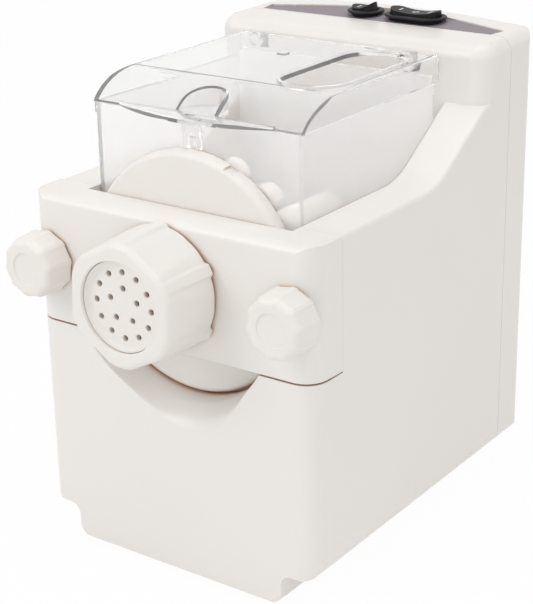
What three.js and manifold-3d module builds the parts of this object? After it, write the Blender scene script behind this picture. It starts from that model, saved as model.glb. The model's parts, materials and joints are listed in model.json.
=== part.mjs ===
// Electric pasta maker: a motor housing with a clear mixing bowl, a screw that
// pushes the dough through a round die, and a front bar held by two thumb nuts.
// Millimetres. X is the width, the front faces -Y, Z is up.
// The pieces are drawn from the front face (y = 0) and the underside (z = 0),
// and one group at the end moves them to the bottom centre of the whole box.

import * as THREE from 'three';
import { mergeVertices } from 'three/addons/utils/BufferGeometryUtils.js';
import Module from 'manifold-3d';

const wasm = await Module();
wasm.setup();

// Clearances and the overrun of every cut
const seatGap = 0.3;
const slideGap = 0.6;
const snugGap = 0.1;
const overrun = 5;

// Body: outline, walls and plinth
const body = {
  width: 200,
  depth: 250,
  topHeight: 291.5,
  wall: 3,
  frontCornerRadius: 14,
  rearCornerRadius: 13,
  topEdgeRadius: 9,
  plinthInset: 24,
  plinthHeight: 20,
  notchRadius: 7,
  shoulderRadius: 10,
  partingDepth: 216,
  crestDrop: 1.5,
};

// Side rims and the step up to the tower
const rim = {
  height: 219.5,
  curveStart: 106,
  curveLead: 22,
  curveEnd: 150,
  curveRise: 13.5,
  towerFront: 185,
  towerMeet: 255,
  towerEdgeRadius: 9,
};

// Drive axis, shared by bowl, screw, die and output gear
const axisHeight = 180;

// U-shaped bay that holds the bowl
const bay = { halfWidth: 72.6, wall: 3 };

// Front bar across the bowl
const bar = {
  bottom: 141,
  thickness: 21.5,
  endDepth: 28.7,
  wall: 4,
  ringWall: 4.5,
  tubeClearance: 0.8,
};

// Round end plate of the bowl with the outlet tube
const plate = {
  radius: bay.halfWidth - slideGap,
  front: 22,
  thickness: 8.5,
  edgeRadius: 2,
  bossStep: 10.5,
  bossLength: 4,
  sealThickness: 0.5,
  tubeOuter: 30,
  tubeWall: 5,
  tubeFront: -32,
  keyWidth: 7,
  keyDepth: 2,
  keyAngle: 66,
  pocketGap: 2,
  reliefFoot: 4.4,
  reliefRim: 3.7,
  reliefDepth: 2.8,
  get tubeBore() { return this.tubeOuter - this.tubeWall; },
  get bossRadius() { return this.radius - this.bossStep; },
  get rear() { return this.front + this.thickness; },
};

// Finger scoop under the end plate
const scoop = {
  flare: 3,
  wall: 3.5,
  centreHeight: 118,
  halfWidth: 48,
  halfHeight: 36,
  halfDepth: 17,
  standOff: 6,
};

// Die and its cap nut
const die = {
  seatInset: 1.2,
  thickness: 3.2,
  holeRadius: 1.75,
  outerRingShare: 0.667,
  outerHoles: 12,
  innerRingShare: 0.34,
  innerHoles: 5,
  get radius() { return plate.tubeOuter - this.seatInset; },
  get front() { return plate.tubeFront - seatGap - this.thickness; },
};
const capNut = {
  rear: -1.2,
  lipReach: 2.3,
  lipThickness: 4.7,
  threadGap: 0.7,
  wall: 7.7,
  taper: 2.8,
  ribCount: 6,
  ribAngle: 27,
  ribRise: 1.9,
  flatDip: 1.6,
  edgeRound: 2,
  get front() { return die.front - seatGap - this.lipThickness; },
  get lipRadius() { return die.radius - this.lipReach; },
  get boreRadius() { return plate.tubeOuter + this.threadGap; },
  get rearRadius() { return this.boreRadius + this.wall; },
  get frontRadius() { return this.rearRadius - this.taper; },
};

// Ribs that both kinds of nut carry
const ribs = { sharpness: 6, dipShare: 0.5 };

// Thumb nuts and their studs
const thumb = {
  edgeInset: 13,
  height: 179.3,
  radius: 18.7,
  frontRadius: 17.2,
  length: 21.5,
  ribCount: 8,
  ribRise: 0.9,
  capRadius: 12.5,
  capDip: 1,
  boreRadius: 5.4,
  boreDepth: 16,
  edgeRound: 1.6,
  get spread() { return body.width / 2 - this.edgeInset; },
};
const stud = { radius: 4.9, tipGap: 1, headRadius: 9, headThickness: 3 };

// Clear bowl
const bowl = {
  flangeReach: 0.6,
  wall: 2.6,
  rearRoom: 13,
  top: 269.4,
  rearRise: 4.1,
  flangeDrop: 6,
  portGap: 0.5,
  shaftHole: 9,
  beadWidth: 3,
  beadHeight: 5,
  beadDepth: 2,
  beadDrop: 15.4,
  get halfWidth() { return bay.halfWidth + this.flangeReach; },
  get neck() { return bay.halfWidth - seatGap; },
  get front() { return plate.rear + plate.sealThickness + snugGap * 2; },
  get rear() { return rim.towerFront - this.rearRoom; },
  get rearTop() { return this.top + this.rearRise; },
  get portRadius() { return plate.bossRadius + this.portGap; },
  get beadLift() { return this.top - this.beadDrop; },
};

// Clear lid
const lid = {
  overhang: 0.2,
  wall: 2.2,
  seatLift: 0.4,
  height: 15.5,
  setBack: 0.4,
  curveReach: 30.4,
  leadShare: 0.33,
  rearReach: 3.5,
  sideRound: 4,
  get halfWidth() { return bowl.halfWidth + this.overhang; },
  get bottom() { return bowl.top + this.seatLift; },
  get top() { return this.bottom + this.height; },
  get front() { return bowl.front + this.setBack; },
  get curveEnd() { return this.front + this.curveReach; },
  get rear() { return bowl.rear + this.rearReach; },
};
const fillSlot = {
  halfWidth: 21,
  edgeMargin: 4.9,
  frontMargin: 34.4,
  rearMargin: 8.5,
  rimWall: 2,
  rimRise: 1.6,
  get centre() { return lid.halfWidth - this.edgeMargin - this.rimWall - this.halfWidth; },
  get front() { return lid.front + this.frontMargin; },
  get rear() { return lid.rear - this.rearMargin; },
};
const lip = { halfSpan: 54, reach: 14, thickness: 2.2 };
const fingerPull = {
  radius: 13,
  setBack: 8.4,
  wall: 2,
  get centre() { return lid.front + this.setBack; },
};
const hingeTab = {
  places: [-61.3, 49.5],
  width: 5,
  thickness: 3,
  lift: 7.2,
  reach: 2.5,
  rootLength: 6.6,
  rootDrop: 4.4,
  get height() { return lid.bottom + this.lift; },
  get end() { return rim.towerFront + bay.wall + this.reach; },
};
const tabSlot = {
  sideRoom: 0.8,
  roomBelow: 5.4,
  roomAbove: 6,
  get width() { return hingeTab.width + this.sideRoom * 2; },
  get bottom() { return hingeTab.height - this.roomBelow; },
  get top() { return hingeTab.height + this.roomAbove; },
};
const catchTongue = {
  halfWidth: 6,
  prongWidth: 3,
  thickness: 2.2,
  overlap: 1.2,
  gap: 1.4,
  get bottom() { return bowl.beadLift - this.overlap; },
};

// Mixing paddle and screw
const screw = {
  shaftRadius: 9,
  flightGap: 0.8,
  flightThickness: 3.4,
  flightThinShare: 0.55,
  pitch: 21,
  tipGap: 2.5,
  hubRadius: 12,
  noseLength: 6.2,
  noseShare: 0.6,
  rootShare: 0.5,
  rearGap: 6,
  socketDepth: 22,
  get flightRadius() { return plate.tubeBore - this.flightGap; },
  get front() { return plate.tubeFront + this.tipGap; },
  get flightEnd() { return plate.rear - plate.sealThickness; },
  get shaftEnd() { return bowl.rear - this.rearGap; },
};
const paddle = {
  firstArm: 12,
  armPitch: 42,
  armCount: 3,
  armThickness: 13,
  firstAngle: 64,
  stemWidth: 15,
  rootShare: 1.2,
  waistShare: 0.7,
  lobeRadius: 8.6,
  lobeGap: 4.6,
  lobeSpread: 13,
  get lobeReach() { return bowl.neck - bowl.wall - this.lobeGap - this.lobeRadius; },
};

// Gear train: motor pinion, two-step layshaft, output wheel
const train = {
  fastModule: 1.75,
  fastPinionTeeth: 10,
  fastWheelTeeth: 50,
  slowModule: 2.8,
  slowPinionTeeth: 10,
  slowWheelTeeth: 45,
  playPerFlank: 0.16,
  slowFace: 9,
  fastFace: 6,
  slowOffset: 2.8,
  fastOffset: 11.4,
  hubRadius: 11,
  webDepth: 3,
  pressureAngle: 20,
  rootClearShare: 1.3,
  get slowPlane() { return gearbox.frontPlane + gearbox.plateThickness + this.slowOffset; },
  get fastPlane() { return this.slowPlane + this.fastOffset; },
};
const gearbox = {
  plateThickness: 2.5,
  span: 24.9,
  halfWidth: 66,
  cornerRadius: 12,
  postRadius: 4,
  postInset: 9,
  topMargin: 70,
  bottomMargin: 36,
  get frontPlane() { return rim.towerFront + bay.wall + seatGap; },
  get rearPlane() { return this.frontPlane + this.span; },
};
const shaft = {
  outputRadius: 6,
  squareSide: 7.4,
  squareGap: 2,
  layRadius: 4,
  runningGap: 0.3,
  get squareFront() { return screw.shaftEnd - screw.socketDepth + this.squareGap; },
};
const bush = { wall: 3, flange: 2.4, flangeThickness: 1.5 };

// Motor
const motor = {
  canRadius: 31,
  canWall: 2,
  canLength: 75.4,
  bellThickness: 7,
  bellGap: 0.9,
  armatureRadius: 22,
  armatureInset: 16,
  armatureLength: 40,
  commutatorRadius: 9,
  commutatorLength: 12,
  shaftRadius: 3,
  bossRadius: 9,
  windowCount: 4,
  windowWidth: 15.5,
  slotCount: 9,
  slotWidth: 3.2,
  fanRadius: 27,
  fanReach: 16,
  fanThickness: 9,
  fanBlades: 9,
  fanBladeThickness: 1.6,
  footWidth: 40,
  get bellRear() { return gearbox.frontPlane - this.bellGap; },
  get canFront() { return this.bellRear - this.canLength; },
  get armatureFront() { return this.canFront + this.armatureInset; },
  get armatureRear() { return this.armatureFront + this.armatureLength; },
  get fanFront() { return this.canFront - this.fanReach; },
};

// Control panel and the two switches
const panel = {
  frontInset: 2.6,
  rearInset: 7,
  sideInset: 13,
  recessDepth: 3.2,
  thickness: 1.4,
  tipShare: 0.93,
  bendShare: 0.33,
  edgeWall: 3,
  get front() { return body.partingDepth + this.frontInset; },
  get rear() { return body.depth - this.rearInset; },
  get halfWidth() { return body.width / 2 - this.sideInset; },
};
const roundSwitch = { centre: -12.6, radius: 11.9, restTilt: -10 };
const longSwitch = { centre: 24.6, radius: 11.9, straight: 18.5, restTilt: 0 };
const switchBase = {
  frontRoom: 11.6,
  flangeBottom: 2.2,
  flangeThickness: 2.4,
  flangeChamfer: 0.8,
  skirtInset: 1.8,
  windowInset: 1.4,
  bodyDrop: 22,
  rockerRise: 5,
  rockerDrop: 4,
  rockerThickness: 14,
  pivotDrop: 2,
  heelShare: 0.9,
  get centreDepth() { return panel.front + this.frontRoom; },
};

// Rear cover details
const vents = { count: 9, width: 3, height: 46, pitch: 8, bottom: 150 };
const cordHole = { radius: 7.5, height: 48, across: -58, flange: 2.5, bore: 4, sleeve: 9, rise: 2 };

// Base plate, feet and electronics
const base = { thickness: 2.6, lip: 0.4, ventCount: 8, ventWidth: 3, ventLength: 44, ventPitch: 8 };
const foot = {
  radius: 9,
  exposed: 3,
  treadInset: 1,
  edgeInset: 18,
  endInset: 24,
  stemRadius: 4,
  get across() { return body.width / 2 - body.plinthInset - this.edgeInset; },
  get front() { return this.endInset; },
  get rear() { return body.depth - this.endInset; },
};
const board = {
  width: 84,
  depth: 60,
  thickness: 1.6,
  standHeight: 8,
  front: 26,
  partHeight: 14,
  finCount: 4,
  finPitch: 5,
  finWidth: 21,
  finInset: 18,
  canCount: 2,
  canRadius: 5,
  canPitch: 14,
};
const lidSwitch = { width: 8, height: 16, depth: 12, standOff: 2.4 };

// Facets of the round forms
const facets = {
  fillet: 3,
  switchRound: 5,
  ring: 32,
  small: 14,
  plain: 10,
  hole: 6,
  dieHole: 8,
  bowl: 10,
  flightTurn: 14,
  gripShare: 1.5,
  motor: 16,
  scoop: 14,
};

const finish = {
  whiteShell: { color: 0xefece8, roughness: 0.38, metalness: 0 },
  whitePart: { color: 0xe9e6e0, roughness: 0.42, metalness: 0 },
  clear: { color: 0xf2f5f6, roughness: 0.08, metalness: 0, transparent: true, opacity: 0.3 },
  black: { color: 0x18181a, roughness: 0.45, metalness: 0 },
  taupe: { color: 0x978f96, roughness: 0.5, metalness: 0 },
  steel: { color: 0xb4b7ba, roughness: 0.35, metalness: 1 },
  brass: { color: 0xb08d4f, roughness: 0.4, metalness: 1 },
  nylon: { color: 0xdedbd0, roughness: 0.55, metalness: 0 },
  rubber: { color: 0x2c2c2e, roughness: 0.9, metalness: 0 },
  silicone: { color: 0xd8d4cf, roughness: 0.7, metalness: 0 },
  copper: { color: 0xa8663a, roughness: 0.5, metalness: 0.8 },
  circuit: { color: 0x2f6b43, roughness: 0.6, metalness: 0 },
};

const degrees = Math.PI / 180;
const turn = Math.PI * 2;
const fullTurn = turn / degrees;
const quarterTurn = fullTurn / 4;

// Solids from closed geometry and back
function solidOf(geometry) {
  const bare = geometry.clone();
  bare.deleteAttribute('normal');
  bare.deleteAttribute('uv');
  const welded = mergeVertices(bare, 1e-4);
  return new wasm.Manifold(new wasm.Mesh({
    numProp: 3,
    vertProperties: new Float32Array(welded.attributes.position.array),
    triVerts: new Uint32Array(welded.index.array),
  }));
}

function geometryOf(solid) {
  const mesh = solid.getMesh();
  const geometry = new THREE.BufferGeometry();
  geometry.setAttribute('position', new THREE.BufferAttribute(mesh.vertProperties, mesh.numProp));
  geometry.setIndex(new THREE.BufferAttribute(mesh.triVerts, 1));
  geometry.computeVertexNormals();
  return geometry;
}

const join = (first, ...others) => others.reduce((sum, other) => sum.add(other), first);
const cut = (first, ...tools) => tools.reduce((rest, tool) => rest.subtract(tool), first);
const common = (first, ...others) => others.reduce((part, other) => part.intersect(other), first);

// Outline from corners, each [u, v] or [u, v, radius]
function outline(corners) {
  const shape = new THREE.Shape();
  const count = corners.length;
  corners.forEach(([u, v, radius = 0], index) => {
    const here = new THREE.Vector2(u, v);
    const [bu, bv] = corners[(index + count - 1) % count];
    const [au, av] = corners[(index + 1) % count];
    const back = new THREE.Vector2(bu, bv).sub(here).normalize();
    const ahead = new THREE.Vector2(au, av).sub(here).normalize();
    if (radius === 0) {
      if (index === 0) shape.moveTo(u, v);
      else shape.lineTo(u, v);
      return;
    }
    const half = Math.acos(THREE.MathUtils.clamp(back.dot(ahead), -1, 1)) / 2;
    const reach = radius / Math.tan(half);
    const start = here.clone().addScaledVector(back, reach);
    const end = here.clone().addScaledVector(ahead, reach);
    const middle = back.clone().add(ahead).normalize();
    const centre = here.clone().addScaledVector(middle, radius / Math.sin(half));
    const from = Math.atan2(start.y - centre.y, start.x - centre.x);
    const to = Math.atan2(end.y - centre.y, end.x - centre.x);
    const clockwise = back.x * ahead.y - back.y * ahead.x > 0;
    if (index === 0) shape.moveTo(start.x, start.y);
    else shape.lineTo(start.x, start.y);
    shape.absarc(centre.x, centre.y, radius, from, to, clockwise);
  });
  shape.closePath();
  return shape;
}

// Prisms along each axis: outlines are drawn in (x, z), (y, z) or (x, y)
function prismY(shape, from, to, curveSegments = facets.fillet) {
  const options = { depth: to - from, bevelEnabled: false, curveSegments };
  const geometry = new THREE.ExtrudeGeometry(shape, options);
  geometry.rotateX(Math.PI / 2);
  geometry.translate(0, to, 0);
  return solidOf(geometry);
}

function prismX(shape, from, to, curveSegments = facets.fillet) {
  const options = { depth: to - from, bevelEnabled: false, curveSegments };
  const geometry = new THREE.ExtrudeGeometry(shape, options);
  const swap = new THREE.Matrix4().makeBasis(
    new THREE.Vector3(0, 1, 0),
    new THREE.Vector3(0, 0, 1),
    new THREE.Vector3(1, 0, 0),
  );
  geometry.applyMatrix4(swap);
  geometry.translate(from, 0, 0);
  return solidOf(geometry);
}

function prismZ(shape, from, to, curveSegments = facets.fillet) {
  const options = { depth: to - from, bevelEnabled: false, curveSegments };
  const geometry = new THREE.ExtrudeGeometry(shape, options);
  geometry.translate(0, 0, from);
  return solidOf(geometry);
}

function box(x0, x1, y0, y1, z0, z1) {
  const geometry = new THREE.BoxGeometry(x1 - x0, y1 - y0, z1 - z0);
  geometry.translate((x0 + x1) / 2, (y0 + y1) / 2, (z0 + z1) / 2);
  return solidOf(geometry);
}

// Turned form about a line along Y; the profile is [radius, y] from rear axis outwards
function turned(profile, x = 0, z = axisHeight, segments = facets.ring) {
  const points = profile.map(([radius, y]) => new THREE.Vector2(radius, y));
  const geometry = new THREE.LatheGeometry(points, segments);
  geometry.translate(x, 0, z);
  return solidOf(geometry);
}

const rod = (radius, from, to, x = 0, z = axisHeight, segments = facets.ring) =>
  turned([[0, from], [radius, from], [radius, to], [0, to]], x, z, segments);

function post(radius, x, y, from, to, segments = facets.plain) {
  const geometry = new THREE.CylinderGeometry(radius, radius, to - from, segments);
  geometry.rotateX(Math.PI / 2);
  geometry.translate(x, y, (from + to) / 2);
  return solidOf(geometry);
}

// Body outlines, all drawn in from the outside by one inset
function sideOutline(inset, front, rear, bottom) {
  const step = rim.height - inset;
  const face = rim.towerFront + inset;
  const curve = [];
  const start = new THREE.Vector2(rim.curveStart, step);
  const lead = new THREE.Vector2(rim.curveStart + rim.curveLead, step);
  const end = new THREE.Vector2(rim.curveEnd, step + rim.curveRise);
  new THREE.QuadraticBezierCurve(start, lead, end).getPoints(facets.fillet * 2)
    .forEach((point) => curve.unshift([point.x, point.y]));
  return outline([
    [front, bottom],
    [rear, bottom],
    [rear, body.topHeight - inset],
    [body.partingDepth, body.topHeight - inset],
    [face, body.topHeight - body.crestDrop - inset, rim.towerEdgeRadius],
    [face, rim.towerMeet - inset],
    ...curve,
    [front, step],
  ]);
}

function frontOutline(inset, bottom) {
  const half = body.width / 2 - inset;
  const plinth = body.width / 2 - body.plinthInset - inset;
  const ledge = body.plinthHeight + inset;
  const top = body.topHeight - inset;
  const soften = (radius) => Math.max(radius - inset, radius / 2);
  const right = [
    [plinth, bottom, inset ? 0 : body.notchRadius],
    [plinth, ledge, body.notchRadius],
    [half, ledge, soften(body.shoulderRadius)],
    [half, top, soften(body.topEdgeRadius)],
  ];
  const left = right.map(([x, z, radius]) => [-x, z, radius]).reverse();
  return outline([...right, ...left]);
}

function planOutline(inset) {
  const half = body.width / 2 - inset;
  return outline([
    [-half, inset, body.frontCornerRadius - inset],
    [half, inset, body.frontCornerRadius - inset],
    [half, body.depth - inset, body.rearCornerRadius - inset],
    [-half, body.depth - inset, body.rearCornerRadius - inset],
  ]);
}

function bodyForm(inset, bottom) {
  const far = body.depth + overrun;
  const high = body.topHeight + overrun;
  const half = body.width / 2 + overrun;
  return common(
    prismX(sideOutline(inset, inset, far, bottom), -half, half),
    prismY(frontOutline(inset, bottom), -overrun, far),
    prismZ(planOutline(inset), bottom - overrun, high),
  );
}

// U outline of the bowl and its bay, open towards the top
function uOutline(halfWidth, top) {
  const shape = new THREE.Shape();
  shape.moveTo(halfWidth, top);
  shape.lineTo(-halfWidth, top);
  shape.lineTo(-halfWidth, axisHeight);
  shape.absarc(0, axisHeight, halfWidth, Math.PI, turn, false);
  shape.closePath();
  return shape;
}

// Bulged disc used for the finger scoop
function scoopForm(extra) {
  const geometry = new THREE.SphereGeometry(1, facets.scoop, facets.scoop / 2);
  geometry.scale(scoop.halfWidth + extra, scoop.halfDepth + extra, scoop.halfHeight + extra);
  geometry.translate(0, -scoop.standOff, scoop.centreHeight);
  return solidOf(geometry);
}

// Main housing
function mainHousing() {
  const half = body.width / 2;
  const high = body.topHeight + overrun;
  const outer = common(
    bodyForm(0, 0),
    box(-half, half, 0, body.partingDepth - seatGap, 0, high),
  );
  const pocketRadius = plate.radius + plate.pocketGap;
  const flared = pocketRadius + scoop.flare;
  const kept = join(
    prismY(uOutline(bay.halfWidth + bay.wall, high), 0, rim.towerFront + bay.wall, facets.bowl),
    rod(flared + scoop.wall, 0, bar.endDepth + bay.wall),
    scoopForm(scoop.wall),
    box(-half, half, 0, bar.endDepth + body.wall, bar.bottom - body.wall, rim.height),
  );
  const hollow = cut(bodyForm(body.wall, -overrun), kept);
  const barSpace = box(-half - overrun, half + overrun, -overrun, bar.endDepth, bar.bottom, high);
  const bayCut = prismY(uOutline(bay.halfWidth, high), bar.endDepth - overrun,
    rim.towerFront, facets.bowl);
  const pocket = turned([
    [0, -overrun],
    [flared, -overrun],
    [flared, 0],
    [pocketRadius, plate.front],
    [pocketRadius, bar.endDepth + seatGap],
    [0, bar.endDepth + seatGap],
  ]);
  const scooped = common(scoopForm(0), box(-half, half, -half, plate.front, 0, bar.bottom));
  const holes = hingeTab.places.map((x) => box(
    x - tabSlot.width / 2, x + tabSlot.width / 2,
    rim.towerFront - overrun, rim.towerFront + bay.wall + overrun,
    tabSlot.bottom, tabSlot.top,
  ));
  const shaftHole = rod(bowl.shaftHole, rim.towerFront - overrun,
    rim.towerFront + bay.wall + overrun, 0, axisHeight, facets.small);
  const studHoles = [-1, 1].map((side) => rod(stud.radius + seatGap, 0,
    bar.endDepth + body.wall + overrun, side * thumb.spread, thumb.height, facets.small));
  return cut(outer, hollow, barSpace, bayCut, pocket, scooped, ...holes, shaftHole, ...studHoles);
}

// Rear cover with vents, cord hole and the sunk panel seat
function panelOutline(inset) {
  const half = panel.halfWidth - inset;
  const front = panel.front + inset;
  const rear = panel.rear - inset;
  const tip = panel.front + (panel.rear - panel.front) * panel.bendShare - inset;
  const shape = new THREE.Shape();
  shape.moveTo(-half * panel.tipShare, front);
  shape.lineTo(half * panel.tipShare, front);
  shape.lineTo(half, tip);
  shape.quadraticCurveTo(half / 2, rear, 0, rear);
  shape.quadraticCurveTo(-half / 2, rear, -half, tip);
  shape.closePath();
  return shape;
}

function rearCover() {
  const half = body.width / 2;
  const high = body.topHeight + overrun;
  const shell = cut(
    common(bodyForm(0, 0), box(-half, half, body.partingDepth, body.depth, 0, high)),
    bodyForm(body.wall, -overrun),
  );
  const seatFloor = body.topHeight - panel.recessDepth;
  const seatBlock = common(
    bodyForm(0, 0),
    prismZ(panelOutline(-panel.edgeWall), seatFloor - body.wall, high, facets.fillet * 2),
    box(-half, half, body.partingDepth, body.depth, 0, high),
  );
  const seat = prismZ(panelOutline(-seatGap), seatFloor, high, facets.fillet * 2);
  const windows = switchWindows(seatFloor - overrun * 2, high);
  const slots = [];
  for (let index = 0; index < vents.count; index += 1) {
    const x = (index - (vents.count - 1) / 2) * vents.pitch;
    const slot = outline([
      [x - vents.width / 2, vents.bottom, vents.width / 2],
      [x + vents.width / 2, vents.bottom, vents.width / 2],
      [x + vents.width / 2, vents.bottom + vents.height, vents.width / 2],
      [x - vents.width / 2, vents.bottom + vents.height, vents.width / 2],
    ]);
    slots.push(prismY(slot, body.depth - body.wall - overrun, body.depth + overrun, 1));
  }
  const cordBore = rod(cordHole.radius + seatGap, body.depth - overrun - body.wall,
    body.depth + overrun, cordHole.across, cordHole.height, facets.plain);
  return cut(join(shell, seatBlock), seat, ...windows, ...slots, cordBore);
}

// Round and long switch outlines, drawn in (x, y)
function switchOutline(kind, inset) {
  const radius = kind.radius - inset;
  const straight = (kind.straight ?? 0) / 2;
  const y = switchBase.centreDepth;
  const shape = new THREE.Shape();
  shape.moveTo(kind.centre + straight, y - radius);
  shape.absarc(kind.centre + straight, y, radius, -Math.PI / 2, Math.PI / 2, false);
  shape.absarc(kind.centre - straight, y, radius, Math.PI / 2, Math.PI * 1.5, false);
  shape.closePath();
  return shape;
}

function switchWindows(from, to) {
  return [roundSwitch, longSwitch].map((kind) =>
    prismZ(switchOutline(kind, switchBase.skirtInset - seatGap), from, to, facets.switchRound));
}

// Control panel plate
function controlPanel() {
  const floor = body.topHeight - panel.recessDepth + seatGap;
  const plateSolid = prismZ(panelOutline(seatGap), floor, floor + panel.thickness,
    facets.fillet * 2);
  return cut(plateSolid, ...switchWindows(floor - overrun, floor + overrun));
}

// Switch frame: skirt, gasket flange and the body under the panel, open for the rocker
function switchFrame(kind) {
  const floor = body.topHeight - panel.recessDepth + seatGap + panel.thickness;
  const flange = floor + switchBase.flangeBottom;
  const top = flange + switchBase.flangeThickness;
  const smooth = facets.switchRound;
  const bottom = floor - switchBase.bodyDrop;
  const outer = join(
    prismZ(switchOutline(kind, switchBase.skirtInset), bottom, top - seatGap, smooth),
    prismZ(switchOutline(kind, 0), flange, top - switchBase.flangeChamfer, smooth),
    prismZ(switchOutline(kind, switchBase.flangeChamfer), flange, top, smooth),
  );
  const room = switchOutline(kind, switchBase.skirtInset + switchBase.windowInset);
  return cut(outer, prismZ(room, bottom + body.wall, top + overrun, smooth));
}

// Rockers: saddle-topped keys that tip about a line along Y
function rocker(kind, tilt) {
  const floor = body.topHeight - panel.recessDepth + seatGap + panel.thickness;
  const flangeTop = floor + switchBase.flangeBottom + switchBase.flangeThickness;
  const inset = switchBase.skirtInset + switchBase.windowInset + slideGap;
  const reach = kind.radius - inset + (kind.straight ?? 0) / 2;
  const heel = reach * switchBase.heelShare;
  const low = flangeTop - switchBase.rockerDrop;
  const high = flangeTop + switchBase.rockerRise;
  const side = new THREE.Shape();
  side.moveTo(kind.centre - heel, low);
  side.quadraticCurveTo(kind.centre, low - switchBase.rockerDrop, kind.centre + heel, low);
  side.lineTo(kind.centre + reach, high);
  side.quadraticCurveTo(kind.centre, high - switchBase.rockerRise, kind.centre - reach, high);
  side.closePath();
  const depth = switchBase.rockerThickness / 2;
  const key = prismY(side, switchBase.centreDepth - depth, switchBase.centreDepth + depth,
    facets.fillet * 2);
  const trim = prismZ(switchOutline(kind, inset), low - overrun, high + overrun,
    facets.switchRound);
  const pivot = flangeTop - switchBase.pivotDrop;
  return common(key, trim)
    .translate([-kind.centre, 0, -pivot])
    .rotate([0, tilt, 0])
    .translate([kind.centre, 0, pivot]);
}

// Base plate with feet and vents
function basePlate() {
  const half = body.width / 2 - body.plinthInset - body.wall - seatGap;
  const near = body.wall + seatGap;
  const far = body.depth - body.wall - seatGap;
  const corner = body.notchRadius;
  const sheet = prismZ(outline([
    [-half, near, corner],
    [half, near, corner],
    [half, far, corner],
    [-half, far, corner],
  ]), base.lip, base.lip + base.thickness);
  const slots = [];
  for (let index = 0; index < base.ventCount; index += 1) {
    const x = (index - (base.ventCount - 1) / 2) * base.ventPitch;
    slots.push(box(x - base.ventWidth / 2, x + base.ventWidth / 2, motor.canFront,
      motor.canFront + base.ventLength, -overrun, overrun));
  }
  const stems = footPlaces().map(([x, y]) =>
    post(foot.stemRadius + seatGap, x, y, -overrun, overrun, facets.hole));
  const stands = boardStands().map(([x, y]) =>
    post(foot.stemRadius, x, y, base.lip, base.lip + base.thickness + board.standHeight, facets.hole));
  return join(cut(sheet, ...slots, ...stems), ...stands);
}

function footPlaces() {
  return [
    [-foot.across, foot.front],
    [foot.across, foot.front],
    [-foot.across, foot.rear],
    [foot.across, foot.rear],
  ];
}

function boardStands() {
  const x = board.width / 2 - foot.radius;
  return [
    [-x, board.front + foot.radius],
    [x, board.front + foot.radius],
    [-x, board.front + board.depth - foot.radius],
    [x, board.front + board.depth - foot.radius],
  ];
}

function rubberFoot(x, y) {
  const tread = foot.radius - foot.treadInset;
  const pad = join(
    post(foot.radius, x, y, -foot.exposed / 2, base.lip - seatGap),
    post(tread, x, y, -foot.exposed, base.lip - seatGap),
  );
  return join(pad, post(foot.stemRadius, x, y, -foot.exposed / 2,
    base.lip + base.thickness + foot.exposed, facets.hole));
}

// Front bar: shell with a ring round the outlet tube, open at the back
function frontBar() {
  const half = body.width / 2;
  const outer = common(
    bodyForm(0, 0),
    box(-half, half, 0, bar.endDepth - seatGap, bar.bottom + seatGap, rim.height),
  );
  const middle = bay.halfWidth - seatGap;
  const ring = plate.tubeOuter + bar.tubeClearance;
  const behind = box(-middle - seatGap, middle + seatGap, bar.thickness, body.depth,
    -overrun, body.topHeight);
  const pocket = (from, to) => box(from, to, bar.wall, bar.endDepth + overrun,
    bar.bottom + bar.wall, rim.height - bar.wall);
  const ribbed = cut(
    join(pocket(-middle, -ring), pocket(ring, middle), pocket(-ring - seatGap, ring + seatGap)),
    rod(ring + bar.ringWall, 0, bar.thickness),
    box(-middle, middle, 0, bar.thickness, axisHeight - bar.wall / 2, axisHeight + bar.wall / 2),
  );
  const studHoles = [-1, 1].map((side) => rod(stud.radius + slideGap, -overrun,
    bar.endDepth + overrun, side * thumb.spread, thumb.height, facets.small));
  const tubeHole = rod(ring, -overrun, bar.endDepth + overrun);
  return cut(outer, behind, ribbed, tubeHole, ...studHoles);
}

// End plate of the bowl with its tube and key notch
function endPlate() {
  const { rear } = plate;
  const blank = turned([
    [0, plate.tubeFront],
    [plate.tubeOuter, plate.tubeFront],
    [plate.tubeOuter, plate.front],
    [plate.radius - plate.edgeRadius, plate.front],
    [plate.radius, plate.front + plate.edgeRadius],
    [plate.radius, rear],
    [plate.bossRadius, rear],
    [plate.bossRadius, rear + plate.bossLength],
    [0, rear + plate.bossLength],
  ]);
  const bore = rod(plate.tubeBore, plate.tubeFront - overrun, rear + overrun * 2);
  const notch = box(-plate.keyWidth / 2, plate.keyWidth / 2, plate.front - overrun,
    rear + overrun, plate.radius - plate.keyDepth, plate.radius + overrun)
    .rotate([0, quarterTurn - plate.keyAngle, 0])
    .translate([0, 0, axisHeight]);
  const reliefInner = plate.tubeOuter + plate.reliefFoot;
  const reliefOuter = plate.bossRadius - plate.reliefRim;
  const reliefFloor = rear - plate.reliefDepth;
  const reliefEnd = rear + plate.bossLength + overrun;
  const relief = turned([
    [reliefInner, reliefFloor],
    [reliefOuter, reliefFloor],
    [reliefOuter, reliefEnd],
    [reliefInner, reliefEnd],
    [reliefInner, reliefFloor],
  ]);
  return cut(blank, bore, notch, relief);
}

// Seal ring between end plate and bowl
function plateSeal() {
  const inner = plate.bossRadius + seatGap;
  const outer = bowl.portRadius + bowl.wall * 2;
  const front = plate.rear + snugGap;
  const back = bowl.front - snugGap;
  return turned([[inner, front], [outer, front], [outer, back], [inner, back], [inner, front]]);
}

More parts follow.
